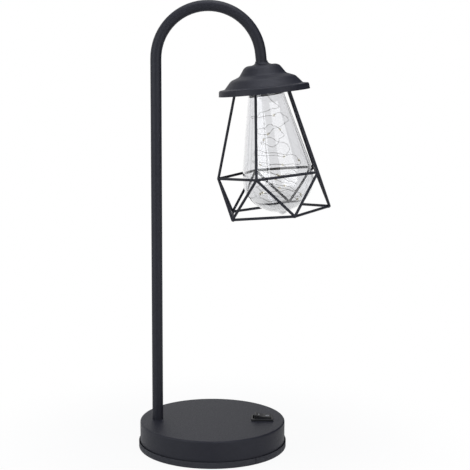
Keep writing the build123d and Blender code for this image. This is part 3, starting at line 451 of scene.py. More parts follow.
# %% Bulb outline
BULB_RADIUS = 0.0325
BULB_WALL = 0.001
BULB_WIDEST_DROP = 0.1078
BULB_NECK_R = 0.0168
BULB_NECK_TOP = 0.017
BULB_CONE_TOP = 0.0292
BULB_SHOULDER_RADIUS = 0.083
BULB_KNUCKLE_R = 0.74 * BULB_RADIUS
BULB_END_DEPTH = 0.88 * BULB_RADIUS
BULB_PIP_RISE = 0.0028
BULB_PIP_R = 0.0046
BULB_PIP_BLEND_R = 0.0075
BULB_EASE_RISE = 0.002
BULB_EASE_STEP = 0.0001

across = BULB_NECK_R - BULB_RADIUS + BULB_SHOULDER_RADIUS
down = BULB_WIDEST_DROP - BULB_CONE_TOP
BULB_SLOPE = math.atan2(down, across) - math.acos(BULB_SHOULDER_RADIUS / math.hypot(across, down))
print("bulb's cone at", round(math.degrees(BULB_SLOPE), 1), "degrees")

# %% Bulb outline, its round end
END_STEPS = (12, 16, 6, 5)


def between(start, end, distance):
    """The point at a distance from one point towards another."""
    return Vector(start) + (Vector(end) - Vector(start)).normalized() * distance


def round_to(centre, start, end, count):
    """Points after start on the arc about a centre that leads to end."""
    first = math.atan2(start[1] - centre[1], start[0] - centre[0])
    last = math.atan2(end[1] - centre[1], end[0] - centre[0])
    radius = math.hypot(start[0] - centre[0], start[1] - centre[1])
    points = arc(centre, radius, math.degrees(first), math.degrees(last), count)
    return points[1:]


def bulb_end(inset):
    """The bulb's end after its widest place: knuckle, crown, blend and pip."""
    knuckle = Vector((BULB_RADIUS - BULB_KNUCKLE_R, -BULB_WIDEST_DROP))
    crown_r = knuckle.x ** 2 + BULB_END_DEPTH ** 2 - BULB_KNUCKLE_R ** 2
    crown_r /= 2 * (BULB_END_DEPTH - BULB_KNUCKLE_R)
    crown = Vector((0, -BULB_WIDEST_DROP - BULB_END_DEPTH + crown_r))
    pip = Vector((0, -BULB_WIDEST_DROP - BULB_END_DEPTH - BULB_PIP_RISE + BULB_PIP_R))
    apart = crown.y - pip.y
    from_crown = crown_r + BULB_PIP_BLEND_R
    from_pip = BULB_PIP_R + BULB_PIP_BLEND_R
    fall = (apart ** 2 + from_crown ** 2 - from_pip ** 2) / (2 * apart)
    blend = Vector((math.sqrt(from_crown ** 2 - fall ** 2), crown.y - fall))
    ends = [
        Vector((BULB_RADIUS - inset, -BULB_WIDEST_DROP)),
        between(knuckle, 2 * knuckle - crown, BULB_KNUCKLE_R - inset),
        between(crown, blend, crown_r - inset),
        between(pip, blend, BULB_PIP_R - inset),
        Vector((0, pip.y - BULB_PIP_R + inset)),
    ]
    points = []
    for start, end, centre, count in zip(ends, ends[1:], (knuckle, crown, blend, pip), END_STEPS):
        points += round_to(centre, start, end, count)
    points[-1] = (0.0, points[-1][1])
    return points


print("round end:", len(bulb_end(0)), "points")

# %% Bulb outline, whole
SHOULDER_STEPS = 20
CONE_STEPS = 8


def bulb_line(inset):
    """Half outline of the bulb from its neck's top to its tip, drawn in by an inset."""
    shoulder = BULB_SHOULDER_RADIUS - inset
    centre = (BULB_RADIUS - BULB_SHOULDER_RADIUS, -BULB_WIDEST_DROP)
    cone_to_waist = arc(centre, shoulder, math.degrees(BULB_SLOPE), 0, SHOULDER_STEPS)
    neck_r = BULB_NECK_R - inset
    join = cone_to_waist[0]
    bend = join[1] + (join[0] - neck_r) / math.tan(BULB_SLOPE)
    top = [(neck_r, -BULB_NECK_TOP), (neck_r, bend + BULB_EASE_RISE), (neck_r + BULB_EASE_STEP, bend)]
    slope = [
        (neck_r + (join[0] - neck_r) * i / CONE_STEPS, bend + (join[1] - bend) * i / CONE_STEPS)
        for i in range(1, CONE_STEPS)
    ]
    return top + slope + cone_to_waist + bulb_end(inset)


print("outline:", len(bulb_line(0)), "points on each face of the wall")

# %% Bulb
BULB_STEPS = 256
# Height above the bulb's lowest point over which the painted shade on the glass fades out.
BULB_SHADE_RISE = 0.030

bulb = turn("bulb_glass", bulb_line(0) + bulb_line(BULB_WALL)[::-1], BULB_STEPS, BULB)
smooth(bulb, 35)
wear(bulb, "clear_glass")
bulb_low = min(vertex.co.z for vertex in bulb.data.vertices)
# Painted shade: the glass's tint is greyer towards the bulb's round end.
paint_shade_by_height(FINISHES["clear_glass"], bulb_low, bulb_low + BULB_SHADE_RISE)
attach(bulb, "lamp")
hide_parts("bulb_envelope")
print("bulb:", len(bulb.data.polygons), "faces")

# %% [markdown]
# ## Edge trim
# A soft channel is pushed over the bottom edge of the base's shell and its ends
# meet in a butt joint, which shows as a small notch at the front. It is the
# channel's own outline turned almost all the way round. The outer leg thins to an
# edge at its top, and the narrow groove behind it draws a dark line on the base.

# %% Edge trim
SHELL_R = 0.0687
SHELL_WALL = 0.001
TRIM_FIT = 0.00005
TRIM_WEB = 0.0012
TRIM_LEG = 0.00125
TRIM_HEIGHT = 0.006
TRIM_ROUND = 0.0005
TRIM_EDGE = 0.0002
TRIM_GROOVE = 0.0022
TRIM_JOINT_ANGLE = math.radians(-54.5)
TRIM_JOINT_GAP = 0.0006
TRIM_STEPS = 240

trim_r = SHELL_R + TRIM_FIT + TRIM_LEG
inner_r = SHELL_R - SHELL_WALL - TRIM_FIT
leg_r = inner_r - TRIM_LEG
trim_line = (
    arc((trim_r - TRIM_ROUND, TRIM_ROUND), TRIM_ROUND, -90, 0, 6)
    + arc((trim_r - TRIM_EDGE, TRIM_HEIGHT - TRIM_EDGE), TRIM_EDGE, 0, 90, 4)
    + [(SHELL_R + TRIM_FIT, TRIM_HEIGHT - TRIM_GROOVE), (SHELL_R + TRIM_FIT, TRIM_WEB)]
    + [(inner_r, TRIM_WEB), (inner_r, TRIM_HEIGHT)]
    + [(leg_r, TRIM_HEIGHT), (leg_r, 0.0)]
)
joint_half = TRIM_JOINT_GAP / 2 / trim_r
trim = turn(
    "edge_trim_channel", trim_line, TRIM_STEPS,
    start=TRIM_JOINT_ANGLE + joint_half, sweep=2 * math.pi - 2 * joint_half,
)
smooth(trim, 40)
wear(trim, "edge_rubber")
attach(trim, "lamp")
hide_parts("edge_trim")
print("trim:", len(trim.data.polygons), "faces")

# %% [markdown]
# ## The path of the light string
# The string is a thin pair of wires that goes straight down through the holder's
# cap and then winds loosely round in the bulb. Its path follows a rule: the
# winding's radius is a share of the room inside the bulb, and that share swings
# slowly in and out. Thin wire also keeps the small kinks that fingers put into it,
# which here are quick, uneven waves of about a millimetre. The points become the
# control points of a smooth spline.

# %% Room in the bulb
LEAST_ROOM = 0.01


def bulb_room(drop):
    """Inner radius of the bulb at a depth below the canopy's top."""
    cone = BULB_NECK_R - BULB_WALL + (drop - BULB_CONE_TOP) * math.tan(BULB_SLOPE)
    belly = BULB_RADIUS - BULB_WALL
    if drop > BULB_WIDEST_DROP:
        depth = (drop - BULB_WIDEST_DROP) / (BULB_END_DEPTH - BULB_WALL)
        return belly * math.sqrt(max(1 - depth ** 2, LEAST_ROOM))
    return min(cone, belly)


print("room at the widest place:", round(1000 * bulb_room(BULB_WIDEST_DROP), 1), "mm")

# %% String path
STRING_LOOPS = 9
STRING_TOP = 0.022
STRING_ENTRY = 0.030
STRING_FIRST = 0.040
STRING_LAST = 0.1254
STRING_START = 30
STRING_SHARE = 0.60
STRING_SWING = 0.17
STRING_RIPPLE = 0.06
STRING_TIP = 0.007
STRING_KINK = 0.0011
POINTS_PER_LOOP = 48

# How the winding wanders on its way: angles are degrees, the rest plain factors.
EARLY_FALL = 1.5
SWING_SPAN = 900
SWING_START = 40
RIPPLE_PACE = 0.37
TIP_DRIFT = 160
TIP_FADE_IN = 8
TIP_FADE_OUT = 4
TIP_END = 1.05
KINK_PHASES = (0, 2, 4)
KINK_PACE = 3.3
KINK_QUICK_PACE = 7.9
KINK_QUICK_SHARE = 0.7


def wave(degrees):
    """Sine of an angle in degrees."""
    return math.sin(math.radians(degrees))


def kink(angle):
    """Small uneven waves along the winding, fading in from its top."""
    waves = []
    for phase in KINK_PHASES:
        quick = KINK_QUICK_SHARE * math.sin(KINK_QUICK_PACE * angle + 2 * phase)
        waves.append(math.sin(KINK_PACE * angle + phase) + quick)
    return STRING_KINK * min(1, angle) * Vector(waves)


def string_place(u):
    """A point of the winding, u from 0 at its top to 1 at its end."""
    turned_by = 360 * STRING_LOOPS * u
    fall = EARLY_FALL * u - (EARLY_FALL - 1) * u * u
    drop = STRING_FIRST + (STRING_LAST - STRING_FIRST) * fall
    tip = STRING_TIP * wave(turned_by + TIP_DRIFT * u)
    tip *= min(1, TIP_FADE_IN * u) * min(1, TIP_FADE_OUT * (TIP_END - u))
    share = STRING_SHARE + STRING_SWING * wave(SWING_SPAN * u + SWING_START)
    share += STRING_RIPPLE * wave(RIPPLE_PACE * turned_by)
    radius = min(bulb_room(drop), bulb_room(drop + tip)) * share
    angle = math.radians(turned_by + STRING_START)
    level = Vector((radius * math.cos(angle), radius * math.sin(angle), -drop - tip))
    return level + kink(math.radians(turned_by))


def string_points():
    """Control points of the whole string, in the bulb's own axes."""
    points = [Vector((0, 0, -STRING_TOP)), Vector((0, 0, -STRING_ENTRY))]
    count = STRING_LOOPS * POINTS_PER_LOOP
    return points + [string_place(i / count) for i in range(count + 1)]


print("string path:", len(string_points()), "control points")

# %% String curve
CURVE_ORDER = 4
CURVE_STEPS = 4


def string_curve(name):
    """The string's path as a curve object."""
    data = bpy.data.curves.new(name, "CURVE")
    data.dimensions = "3D"
    data.resolution_u = CURVE_STEPS
    spline = data.splines.new("NURBS")
    points = [BULB @ point for point in string_points()]
    spline.points.add(len(points) - 1)
    for slot, point in zip(spline.points, points):
        slot.co = (*point, 1)
    spline.order_u = CURVE_ORDER
    spline.use_endpoint_u = True
    return new_object(name, data)


print("string curve of order", CURVE_ORDER)

# %% [markdown]
# ## Geometry Nodes for the string
# The string's two wires twist slowly round each other, and the lights sit on it
# at even steps. Both follow a path, so both are Geometry Nodes trees with named
# inputs. One helper makes a tree with its sockets, one ends it with real copies
# and their finish, and one runs it on an object and keeps the plain mesh.

# %% Helpers for node trees
def new_tree(name, inputs):
    """A geometry node tree with a geometry input and the named number inputs."""
    tree = bpy.data.node_groups.new(name, "GeometryNodeTree")
    face = tree.interface
    face.new_socket("Geometry", in_out="OUTPUT", socket_type="NodeSocketGeometry")
    face.new_socket("Geometry", in_out="INPUT", socket_type="NodeSocketGeometry")
    for label, value in inputs.items():
        kind = "NodeSocketInt" if isinstance(value, int) else "NodeSocketFloat"
        face.new_socket(label, in_out="INPUT", socket_type=kind).default_value = value
    return tree, tree.nodes.new("NodeGroupInput").outputs


def close_tree(tree, shape, finish_name):
    """End a tree: copies made real, one finish on all of it, and out."""
    real = add(tree, "GeometryNodeRealizeInstances", {"Geometry": shape})
    worn = {"Geometry": real.outputs["Geometry"], "Material": FINISHES[finish_name]}
    coat = add(tree, "GeometryNodeSetMaterial", worn)
    add(tree, "NodeGroupOutput", {"Geometry": coat.outputs["Geometry"]})
    print("tree", tree.name, "has", len(tree.nodes), "nodes")
    return tree


def run_tree(source, tree, values, name, finish_name):
    """Run a tree on an object and return the result as a plain mesh object."""
    modifier = source.modifiers.new(tree.name, "NODES")
    modifier.node_group = tree
    for item in tree.interface.items_tree:
        if item.in_out == "INPUT" and item.name in values:
            modifier[item.identifier] = values[item.name]
    evaluated = source.evaluated_get(bpy.context.evaluated_depsgraph_get())
    data = bpy.data.meshes.new_from_object(evaluated)
    data.name = name
    bpy.data.objects.remove(source)
    piece = new_object(name, data)
    wear(piece, finish_name)
    return piece


print("tree helpers: new_tree, close_tree and run_tree")

# %% A tree for the twisted pair
WIRE_STEP = 0.0008
WIRE_SIDES = 6


def wire_pair_tree():
    """Two thin wires that twist round the path they follow."""
    inputs = {"Wire radius": 0.0, "Twist radius": 0.0, "Twist length": 1.0}
    tree, given = new_tree("wire_pair", inputs)
    path = {"Curve": given["Geometry"], "Length": WIRE_STEP}
    even = add(tree, "GeometryNodeResampleCurve", path, mode="LENGTH").outputs["Curve"]
    along = add(tree, "GeometryNodeSplineParameter").outputs["Length"]
    tangent = add(tree, "GeometryNodeInputTangent").outputs[0]
    normal = add(tree, "GeometryNodeInputNormal").outputs[0]
    axes = {0: tangent, 1: normal}
    across = add(tree, "ShaderNodeVectorMath", axes, operation="CROSS_PRODUCT").outputs[0]
    angle = calc(tree, "MULTIPLY", calc(tree, "DIVIDE", along, given["Twist length"]), 2 * math.pi)
    section = {"Radius": given["Wire radius"], "Resolution": WIRE_SIDES}
    ring = add(tree, "GeometryNodeCurvePrimitiveCircle", section).outputs["Curve"]
    both = add(tree, "GeometryNodeJoinGeometry")
    for start in (0.0, math.pi):
        turned_to = calc(tree, "ADD", angle, start)
        shifts = []
        for operation, axis in (("COSINE", normal), ("SINE", across)):
            reach = calc(tree, "MULTIPLY", calc(tree, operation, turned_to), given["Twist radius"])
            shift = add(tree, "ShaderNodeVectorMath", {0: axis, "Scale": reach}, operation="SCALE")
            shifts.append(shift.outputs[0])
        offset = add(tree, "ShaderNodeVectorMath", dict(enumerate(shifts)), operation="ADD")
        moved = add(tree, "GeometryNodeSetPosition", {"Geometry": even, "Offset": offset.outputs[0]})
        swept = {"Curve": moved.outputs["Geometry"], "Profile Curve": ring, "Fill Caps": True}
        tube = add(tree, "GeometryNodeCurveToMesh", swept)
        tree.links.new(tube.outputs["Mesh"], both.inputs["Geometry"])
    return close_tree(tree, both.outputs["Geometry"], "string_wire")


wire_pair = wire_pair_tree()

# %% The twisted pair of wires
STRING_WIRE_R = 0.00011
TWIST_R = 0.00013
TWIST_LENGTH = 0.010

string = run_tree(
    string_curve("string_path"),
    wire_pair,
    {"Wire radius": STRING_WIRE_R, "Twist radius": TWIST_R, "Twist length": TWIST_LENGTH},
    "light_string_wires",
    "string_wire",
)
smooth(string, 60)
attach(string, "lamp")
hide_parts("led_string")
print("string:", len(string.data.polygons), "faces")

# %% [markdown]
# ## Lights on the string
# Each light is a chip a millimetre long, sealed in a drop of clear resin with
# the wires running through it. The same tree places both: it spaces points along
# the path, puts a shape on each one in line with the wire, and makes it real.

# %% A tree for the lights
DROP_SEGMENTS = 12
DROP_RINGS = 8


def lights_tree(name, shape, finish_name):
    """Copies of a round or square shape, evenly spaced along a path."""
    inputs = {"Count": 1, "First": 0.0, "Last": 1.0, "Across": 0.001, "Along": 0.001}
    tree, given = new_tree(name, inputs)
    part = {"Curve": given["Geometry"], "Start": given["First"], "End": given["Last"]}
    stretch = add(tree, "GeometryNodeTrimCurve", part)
    steps = {"Curve": stretch.outputs["Curve"], "Count": given["Count"]}
    spots = add(tree, "GeometryNodeCurveToPoints", steps, mode="COUNT")
    sides = {"X": given["Across"], "Y": given["Across"], "Z": given["Along"]}
    size = add(tree, "ShaderNodeCombineXYZ", sides)
    if shape == "drop":
        ball = {"Segments": DROP_SEGMENTS, "Rings": DROP_RINGS, "Radius": 0.5}
        solid = add(tree, "GeometryNodeMeshUVSphere", ball)
    else:
        solid = add(tree, "GeometryNodeMeshCube")
    placed = {
        "Points": spots.outputs["Points"],
        "Instance": solid.outputs["Mesh"],
        "Rotation": spots.outputs["Rotation"],
        "Scale": size.outputs["Vector"],
    }
    copies = add(tree, "GeometryNodeInstanceOnPoints", placed)
    return close_tree(tree, copies.outputs["Instances"], finish_name)


drop_tree = lights_tree("light_drops", "drop", "light_drops")
chip_tree = lights_tree("light_chips", "chip", "phosphor")

# %% Drops and chips
LIGHT_COUNT = 18
FIRST_LIGHT = 0.09
LAST_LIGHT = 0.99
DROP_WIDTH = 0.0024
DROP_LENGTH = 0.0032
CHIP_WIDTH = 0.0006
CHIP_LENGTH = 0.0011

spacing = {"Count": LIGHT_COUNT, "First": FIRST_LIGHT, "Last": LAST_LIGHT}
drops = run_tree(
    string_curve("drop_path"),
    drop_tree,
    {**spacing, "Across": DROP_WIDTH, "Along": DROP_LENGTH},
    "light_drop_resin",
    "light_drops",
)
smooth(drops, 80)
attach(drops, "lamp")
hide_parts("led_beads")
chips = run_tree(
    string_curve("chip_path"),
    chip_tree,
    {**spacing, "Across": CHIP_WIDTH, "Along": CHIP_LENGTH},
    "light_chips",
    "phosphor",
)
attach(chips, "lamp")
print("lights:", LIGHT_COUNT, "drops of", len(drops.data.polygons) // LIGHT_COUNT, "faces")

# %% [markdown]
# ## Marks on the rocker
# The rocker carries the two usual marks, a ring for off and a bar for on. They
# are printed, so they are thin pads that stand a hair above the plastic. Each
# half of the rocker's top slopes, so a mark is drawn flat and then tilted with it.

# %% Rocker marks
SWITCH_X = 0.0473
PIVOT_Z = 0.0232
ROCKER_TILT = math.radians(8.0)
ROCKER_V = math.radians(5.0)
ROCKER_CREST = 0.0057
MARK_OUT = 0.0040
MARK_HEIGHT = 0.00008
RING_OUTER = 0.00155
RING_INNER = 0.00095
BAR_LENGTH = 0.0030
BAR_WIDTH = 0.0007
RING_STEPS = 48
BAR_END_STEPS = 10

rocker_place = Matrix.Translation((SWITCH_X, 0, PIVOT_Z)) @ Matrix.Rotation(ROCKER_TILT, 4, "Y")


def on_rocker(side):
    """Where a mark lies on the half of the rocker at +X (side 1) or at -X (side -1)."""
    rise = Matrix.Translation((side * MARK_OUT, 0, ROCKER_CREST + MARK_OUT * math.tan(ROCKER_V)))
    return rocker_place @ rise @ Matrix.Rotation(-side * ROCKER_V, 4, "Y")


def ring_mark():
    """A flat ring with a little thickness."""
    edge = MARK_HEIGHT / 4
    line = [
        (RING_INNER, -MARK_HEIGHT), (RING_OUTER, -MARK_HEIGHT),
        (RING_OUTER, MARK_HEIGHT - edge), (RING_OUTER - edge, MARK_HEIGHT),
        (RING_INNER + edge, MARK_HEIGHT), (RING_INNER, MARK_HEIGHT - edge),
    ]
    return turn("mark_off_ring", line, RING_STEPS, on_rocker(1))


def bar_mark():
    """A flat bar with round ends."""
    mesh = bmesh.new()
    reach, half = BAR_LENGTH / 2 - BAR_WIDTH / 2, BAR_WIDTH / 2
    line = arc((0, reach), half, 0, 180, BAR_END_STEPS)
    line += arc((0, -reach), half, 180, 360, BAR_END_STEPS)
    low = [mesh.verts.new((x, y, -MARK_HEIGHT)) for x, y in line]
    high = [mesh.verts.new((x, y, MARK_HEIGHT)) for x, y in line]
    mesh.faces.new(high)
    mesh.faces.new(low[::-1])
    for i in range(len(line)):
        j = (i + 1) % len(line)
        mesh.faces.new((low[i], low[j], high[j], high[i]))
    return keep_mesh("mark_on_bar", mesh, on_rocker(-1))


for mark in (ring_mark(), bar_mark()):
    smooth(mark, 30)
    wear(mark, "mark_paint")
    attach(mark, "rocker")
    print(mark.name, "on the rocker")

# %% [markdown]
# ## Springs
# Each cell is pressed against its contact by a cone spring, and a small straight
# spring pushes the switch's plunger down. A spring follows a rule, a helix whose
# radius may change on the way, so one Geometry Nodes tree winds them all: it
# sweeps a round wire along a spiral and stands a copy on each point of a mesh, in
# the direction that the point's own attribute gives.

# %% A tree for springs
STEPS_PER_TURN = 40
SPRING_WIRE_SIDES = 10


def spring_tree(finish_name):
    """A wire wound into a spring on each point of a mesh."""
    inputs = {
        "Turns": 1.0, "First radius": 0.001, "Last radius": 0.001,
        "Rise": 0.001, "Wire radius": 0.0001,
    }
    tree, given = new_tree("springs", inputs)
    winding = {
        "Resolution": STEPS_PER_TURN,
        "Rotations": given["Turns"],
        "Start Radius": given["First radius"],
        "End Radius": given["Last radius"],
        "Height": given["Rise"],
    }
    helix = add(tree, "GeometryNodeCurveSpiral", winding)
    section = {"Radius": given["Wire radius"], "Resolution": SPRING_WIRE_SIDES}
    ring = add(tree, "GeometryNodeCurvePrimitiveCircle", section)
    swept = {"Curve": helix.outputs["Curve"], "Profile Curve": ring.outputs["Curve"], "Fill Caps": True}
    wound = add(tree, "GeometryNodeCurveToMesh", swept)
    facing = add(tree, "GeometryNodeInputNamedAttribute", {"Name": "facing"}, data_type="FLOAT_VECTOR")
    towards = {"Vector": facing.outputs["Attribute"]}
    upright = add(tree, "FunctionNodeAlignRotationToVector", towards, axis="Z")
    placed = {
        "Points": given["Geometry"],
        "Instance": wound.outputs["Mesh"],
        "Rotation": upright.outputs["Rotation"],
    }
    copies = add(tree, "GeometryNodeInstanceOnPoints", placed)
    return close_tree(tree, copies.outputs["Instances"], finish_name)


coil_tree = spring_tree("nickel_contact")


# %% A function for springs
def springs(name, node, body, feet, radii, length, turns, wire):
    """Springs that stand on (point, direction) feet and stand for a CAD node."""
    mesh = bpy.data.meshes.new(name + "_feet")
    mesh.from_pydata([point + direction * wire for point, direction in feet], [], [])
    facing = mesh.attributes.new("facing", "FLOAT_VECTOR", "POINT")
    for slot, (_, direction) in zip(facing.data, feet):
        slot.vector = direction
    values = {
        "Turns": turns, "First radius": radii[0], "Last radius": radii[1],
        "Rise": length - 2 * wire, "Wire radius": wire,
    }
    piece = run_tree(new_object(name + "_feet", mesh), coil_tree, values, name, "nickel_contact")
    smooth(piece, 60)
    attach(piece, body)
    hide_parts(node)
    print(name, "has", len(piece.data.polygons), "faces")
    return piece


print("spring helper: springs")

# %% Springs
CELL_X = (-0.0174, -0.002, 0.0134)
CELL_FACING = (1, -1, 1)
CELL_Z = 0.01085
CONTACT_Y = 0.0281
SPRING_RADII = (0.0042, 0.0026)
SPRING_LENGTH = 0.0057
SPRING_TURNS = 3.5
SPRING_WIRE = 0.00035
PLUNGER_TOP = -0.0035
PLUNGER_BORE_TOP = 0.0015
PLUNGER_RADII = (0.00115, 0.00115)
PLUNGER_TURNS = 5.0
PLUNGER_WIRE = 0.0002

cell_feet = [
    (Vector((x, -side * CONTACT_Y, CELL_Z)), Vector((0, side, 0))) for x, side in zip(CELL_X, CELL_FACING)
]
springs(
    "cell_springs", "contact_springs", "lamp", cell_feet, SPRING_RADII,
    SPRING_LENGTH, SPRING_TURNS, SPRING_WIRE,
)
plunger_foot = rocker_place @ Vector((0, 0, PLUNGER_TOP))
plunger_up = rocker_place.to_3x3() @ Vector((0, 0, 1))
springs(
    "plunger_coil", "plunger_spring", "rocker", [(plunger_foot, plunger_up)], PLUNGER_RADII,
    PLUNGER_BORE_TOP - PLUNGER_TOP, PLUNGER_TURNS, PLUNGER_WIRE,
)

# %% [markdown]
# ## Weld beads on the cage
# The cage's wires are butt-welded where they meet and coated afterwards, so each
# joint is a small soft lump under the coat. The joints that show lie at the corners
# of the two rings. They repeat, so a Geometry Nodes tree puts a lump on each point
# and roughens it with a noise, which has no random part and is the same every time.

# %% Places of the welds
CAGE_SIDES = 5
CAGE_RADIUS = 0.050
CAGE_MID_DROP = 0.100
CAGE_LOW_DROP = 0.1356
CORNER_ROUNDED = 0.0006


def weld_points():
    """One point at each corner of the two rings."""
    points = []
    for drop, shift in ((CAGE_MID_DROP, 0.0), (CAGE_LOW_DROP, 0.5)):
        for i in range(CAGE_SIDES):
            angle = math.pi + (i + shift) * 2 * math.pi / CAGE_SIDES
            out = CAGE_RADIUS - CORNER_ROUNDED
            points.append(HEAD @ Vector((out * math.cos(angle), out * math.sin(angle), -drop)))
    return points


print("welds at", len(weld_points()), "corners")

# %% A tree for the welds
NOISE_MIDDLE = 0.5
LUMP_SPLITS = 3


def weld_tree():
    """A roughened lump on each point of a mesh."""
    tree, given = new_tree("weld_beads", {"Radius": 0.001, "Roughness": 0.0, "Lump size": 0.001})
    ball = {"Radius": given["Radius"], "Subdivisions": LUMP_SPLITS}
    lump = add(tree, "GeometryNodeMeshIcoSphere", ball)
    placed = {"Points": given["Geometry"], "Instance": lump.outputs["Mesh"]}
    copies = add(tree, "GeometryNodeInstanceOnPoints", placed)
    real = add(tree, "GeometryNodeRealizeInstances", {"Geometry": copies.outputs["Instances"]})
    finer = calc(tree, "DIVIDE", 1.0, given["Lump size"])
    noise = add(tree, "ShaderNodeTexNoise", {"Scale": finer, "Detail": 1.0})
    centred = calc(tree, "SUBTRACT", noise.outputs["Fac"], NOISE_MIDDLE)
    depth = calc(tree, "MULTIPLY", centred, given["Roughness"])
    normal = add(tree, "GeometryNodeInputNormal").outputs[0]
    offset = add(tree, "ShaderNodeVectorMath", {0: normal, "Scale": depth}, operation="SCALE")
    moves = {"Geometry": real.outputs["Geometry"], "Offset": offset.outputs[0]}
    rough = add(tree, "GeometryNodeSetPosition", moves)
    return close_tree(tree, rough.outputs["Geometry"], "charcoal_coat")


bead_tree = weld_tree()

# %% Weld beads
WELD_RADIUS = 0.0017
WELD_ROUGHNESS = 0.0008
WELD_LUMP = 0.0015

joint_mesh = bpy.data.meshes.new("weld_points")
joint_mesh.from_pydata(weld_points(), [], [])
welds = run_tree(
    new_object("weld_points", joint_mesh),
    bead_tree,
    {"Radius": WELD_RADIUS, "Roughness": WELD_ROUGHNESS, "Lump size": WELD_LUMP},
    "cage_weld_beads",
    "charcoal_coat",
)
smooth(welds, 80)
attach(welds, "lamp")
print("welds:", len(welds.data.polygons), "faces")

# %% [markdown]
# ## Floor and light
# The lamp stands on a plain white floor. A floor that is lit never comes out
# quite white, so towards its far side it hands over to plain white for the camera
# alone, and near the lamp it keeps the soft shadow. The world does the same: it is
# white where it is looked at, mirrored or seen through the bulb, and a soft fill
# otherwise. From below the floor is clear, so that the battery door can be seen.

# %% Floor material
SHADOW_NEAR = 0.10
SHADOW_FAR = 0.28
WHITE_NEAR = 0.92
PAPER_COLOUR = (0.92, 0.92, 0.92, 1)
PAPER_ROUGHNESS = 0.9


def seen_directly(tree):
    """1 for rays from the camera, a mirror or through glass, else 0."""
    path = add(tree, "ShaderNodeLightPath").outputs
    first = calc(tree, "MAXIMUM", path["Is Camera Ray"], path["Is Glossy Ray"])
    return calc(tree, "MAXIMUM", first, path["Is Transmission Ray"])


def matt_material(name, colour, roughness):
    """A plain material without gloss."""
    material = bpy.data.materials.new(name)
    material.use_nodes = True
    shader = material.node_tree.nodes["Principled BSDF"]
    shader.inputs["Base Color"].default_value = colour
    shader.inputs["Roughness"].default_value = roughness
    shader.inputs["Specular IOR Level"].default_value = 0.0
    return material


def floor_material():
    """White paper: lit near the lamp, plain white to the eye further off, clear from below."""
    material = matt_material("floor_paper", PAPER_COLOUR, PAPER_ROUGHNESS)
    tree = material.node_tree
    paper = tree.nodes["Principled BSDF"].outputs[0]
    plain = add(tree, "ShaderNodeEmission", {"Strength": 1.0}).outputs[0]
    place = add(tree, "ShaderNodeTexCoord").outputs["Object"]
    far = add(tree, "ShaderNodeVectorMath", {0: place}, operation="LENGTH").outputs["Value"]
    span = {"From Min": SHADOW_NEAR, "From Max": SHADOW_FAR, "To Min": WHITE_NEAR, "To Max": 1.0}
    fade = add(tree, "ShaderNodeMapRange", {"Value": far, **span}, interpolation_type="SMOOTHSTEP")
    share = calc(tree, "MULTIPLY", fade.outputs["Result"], seen_directly(tree))
    above = add(tree, "ShaderNodeMixShader", {0: share, 1: paper, 2: plain}).outputs[0]
    side = add(tree, "ShaderNodeNewGeometry").outputs["Backfacing"]
    clear = add(tree, "ShaderNodeBsdfTransparent").outputs[0]
    one_way = add(tree, "ShaderNodeMixShader", {0: side, 1: above, 2: clear})
    tree.links.new(one_way.outputs[0], tree.nodes["Material Output"].inputs["Surface"])
    return material


floor_paper = floor_material()
print("floor keeps its shadow out to", SHADOW_FAR, "m")

# %% Floor
FLOOR_HALF = 6.0

floor_mesh = bpy.data.meshes.new("floor")
corners = [(FLOOR_HALF * x, FLOOR_HALF * y, 0) for x, y in ((-1, -1), (1, -1), (1, 1), (-1, 1))]
floor_mesh.from_pydata(corners, [], [(0, 1, 2, 3)])
floor_mesh.materials.append(floor_paper)
floor = new_object("floor", floor_mesh)
print("floor", 2 * FLOOR_HALF, "m across")

# %% World
WORLD_FILL = 0.22
WORLD_TINT = (0.95, 0.97, 1.0, 1)


def studio_world():
    """White where it is seen, a soft grey fill where it only lights."""
    world = bpy.data.worlds.new("studio")
    world.use_nodes = True
    tree = world.node_tree
    fill = tree.nodes["Background"]
    fill.inputs["Color"].default_value = WORLD_TINT
    fill.inputs["Strength"].default_value = WORLD_FILL
    white = add(tree, "ShaderNodeBackground", {"Color": (1, 1, 1, 1), "Strength": 1.0})
    ways = {0: seen_directly(tree), 1: fill.outputs[0], 2: white.outputs[0]}
    mix = add(tree, "ShaderNodeMixShader", ways)
    tree.links.new(mix.outputs[0], tree.nodes["World Output"].inputs["Surface"])
    return world


scene.world = studio_world()
print("world fill", WORLD_FILL)

# %% [markdown]
# ## Soft boxes and a dark screen
# Two tall, wide soft boxes stand half left and half right of the camera. They draw
# the two white streaks down the bulb, and for that they only need to be mirrored.
# From behind they would shine straight through the bulb and wash it out, so a Light
# Path node leaves them out of what went through glass without being mirrored.
# The light itself comes from above and from two more boxes well out to the sides,
# which leave the middle of the base's front a little darker than its flanks.
# Around the boxes a studio is dark, and a dark screen stands for that, so that the
# coat's front doesn't mirror white and the bulb keeps its grey beside the streaks.
# The screen is only there for mirrored and scattered light, so it never shows in
# a picture.

# %% Dark screen
SCREEN_RADIUS = 2.4
SCREEN_HEIGHT = 3.0
SCREEN_FIRST = math.radians(190)
SCREEN_LAST = math.radians(440)
SCREEN_STEPS = 30
SCREEN_COLOUR = (0.03, 0.03, 0.031, 1)


def dark_screen():
    """A bent screen round the camera's side of the set, drawn further back on the right."""
    count = SCREEN_STEPS + 1
    sweep = SCREEN_LAST - SCREEN_FIRST
    angles = [SCREEN_FIRST + sweep * i / SCREEN_STEPS for i in range(count)]
    low = [(SCREEN_RADIUS * math.cos(a), SCREEN_RADIUS * math.sin(a), 0.0) for a in angles]
    high = [(x, y, SCREEN_HEIGHT) for x, y, _ in low]
    faces = [(i, i + 1, count + i + 1, count + i) for i in range(SCREEN_STEPS)]
    mesh = bpy.data.meshes.new("dark_screen")
    mesh.from_pydata(low + high, [], faces)
    mesh.materials.append(matt_material("dark_screen", SCREEN_COLOUR, 1.0))
    screen = new_object("dark_screen", mesh)
    screen.visible_camera = False
    screen.visible_transmission = False
    return screen


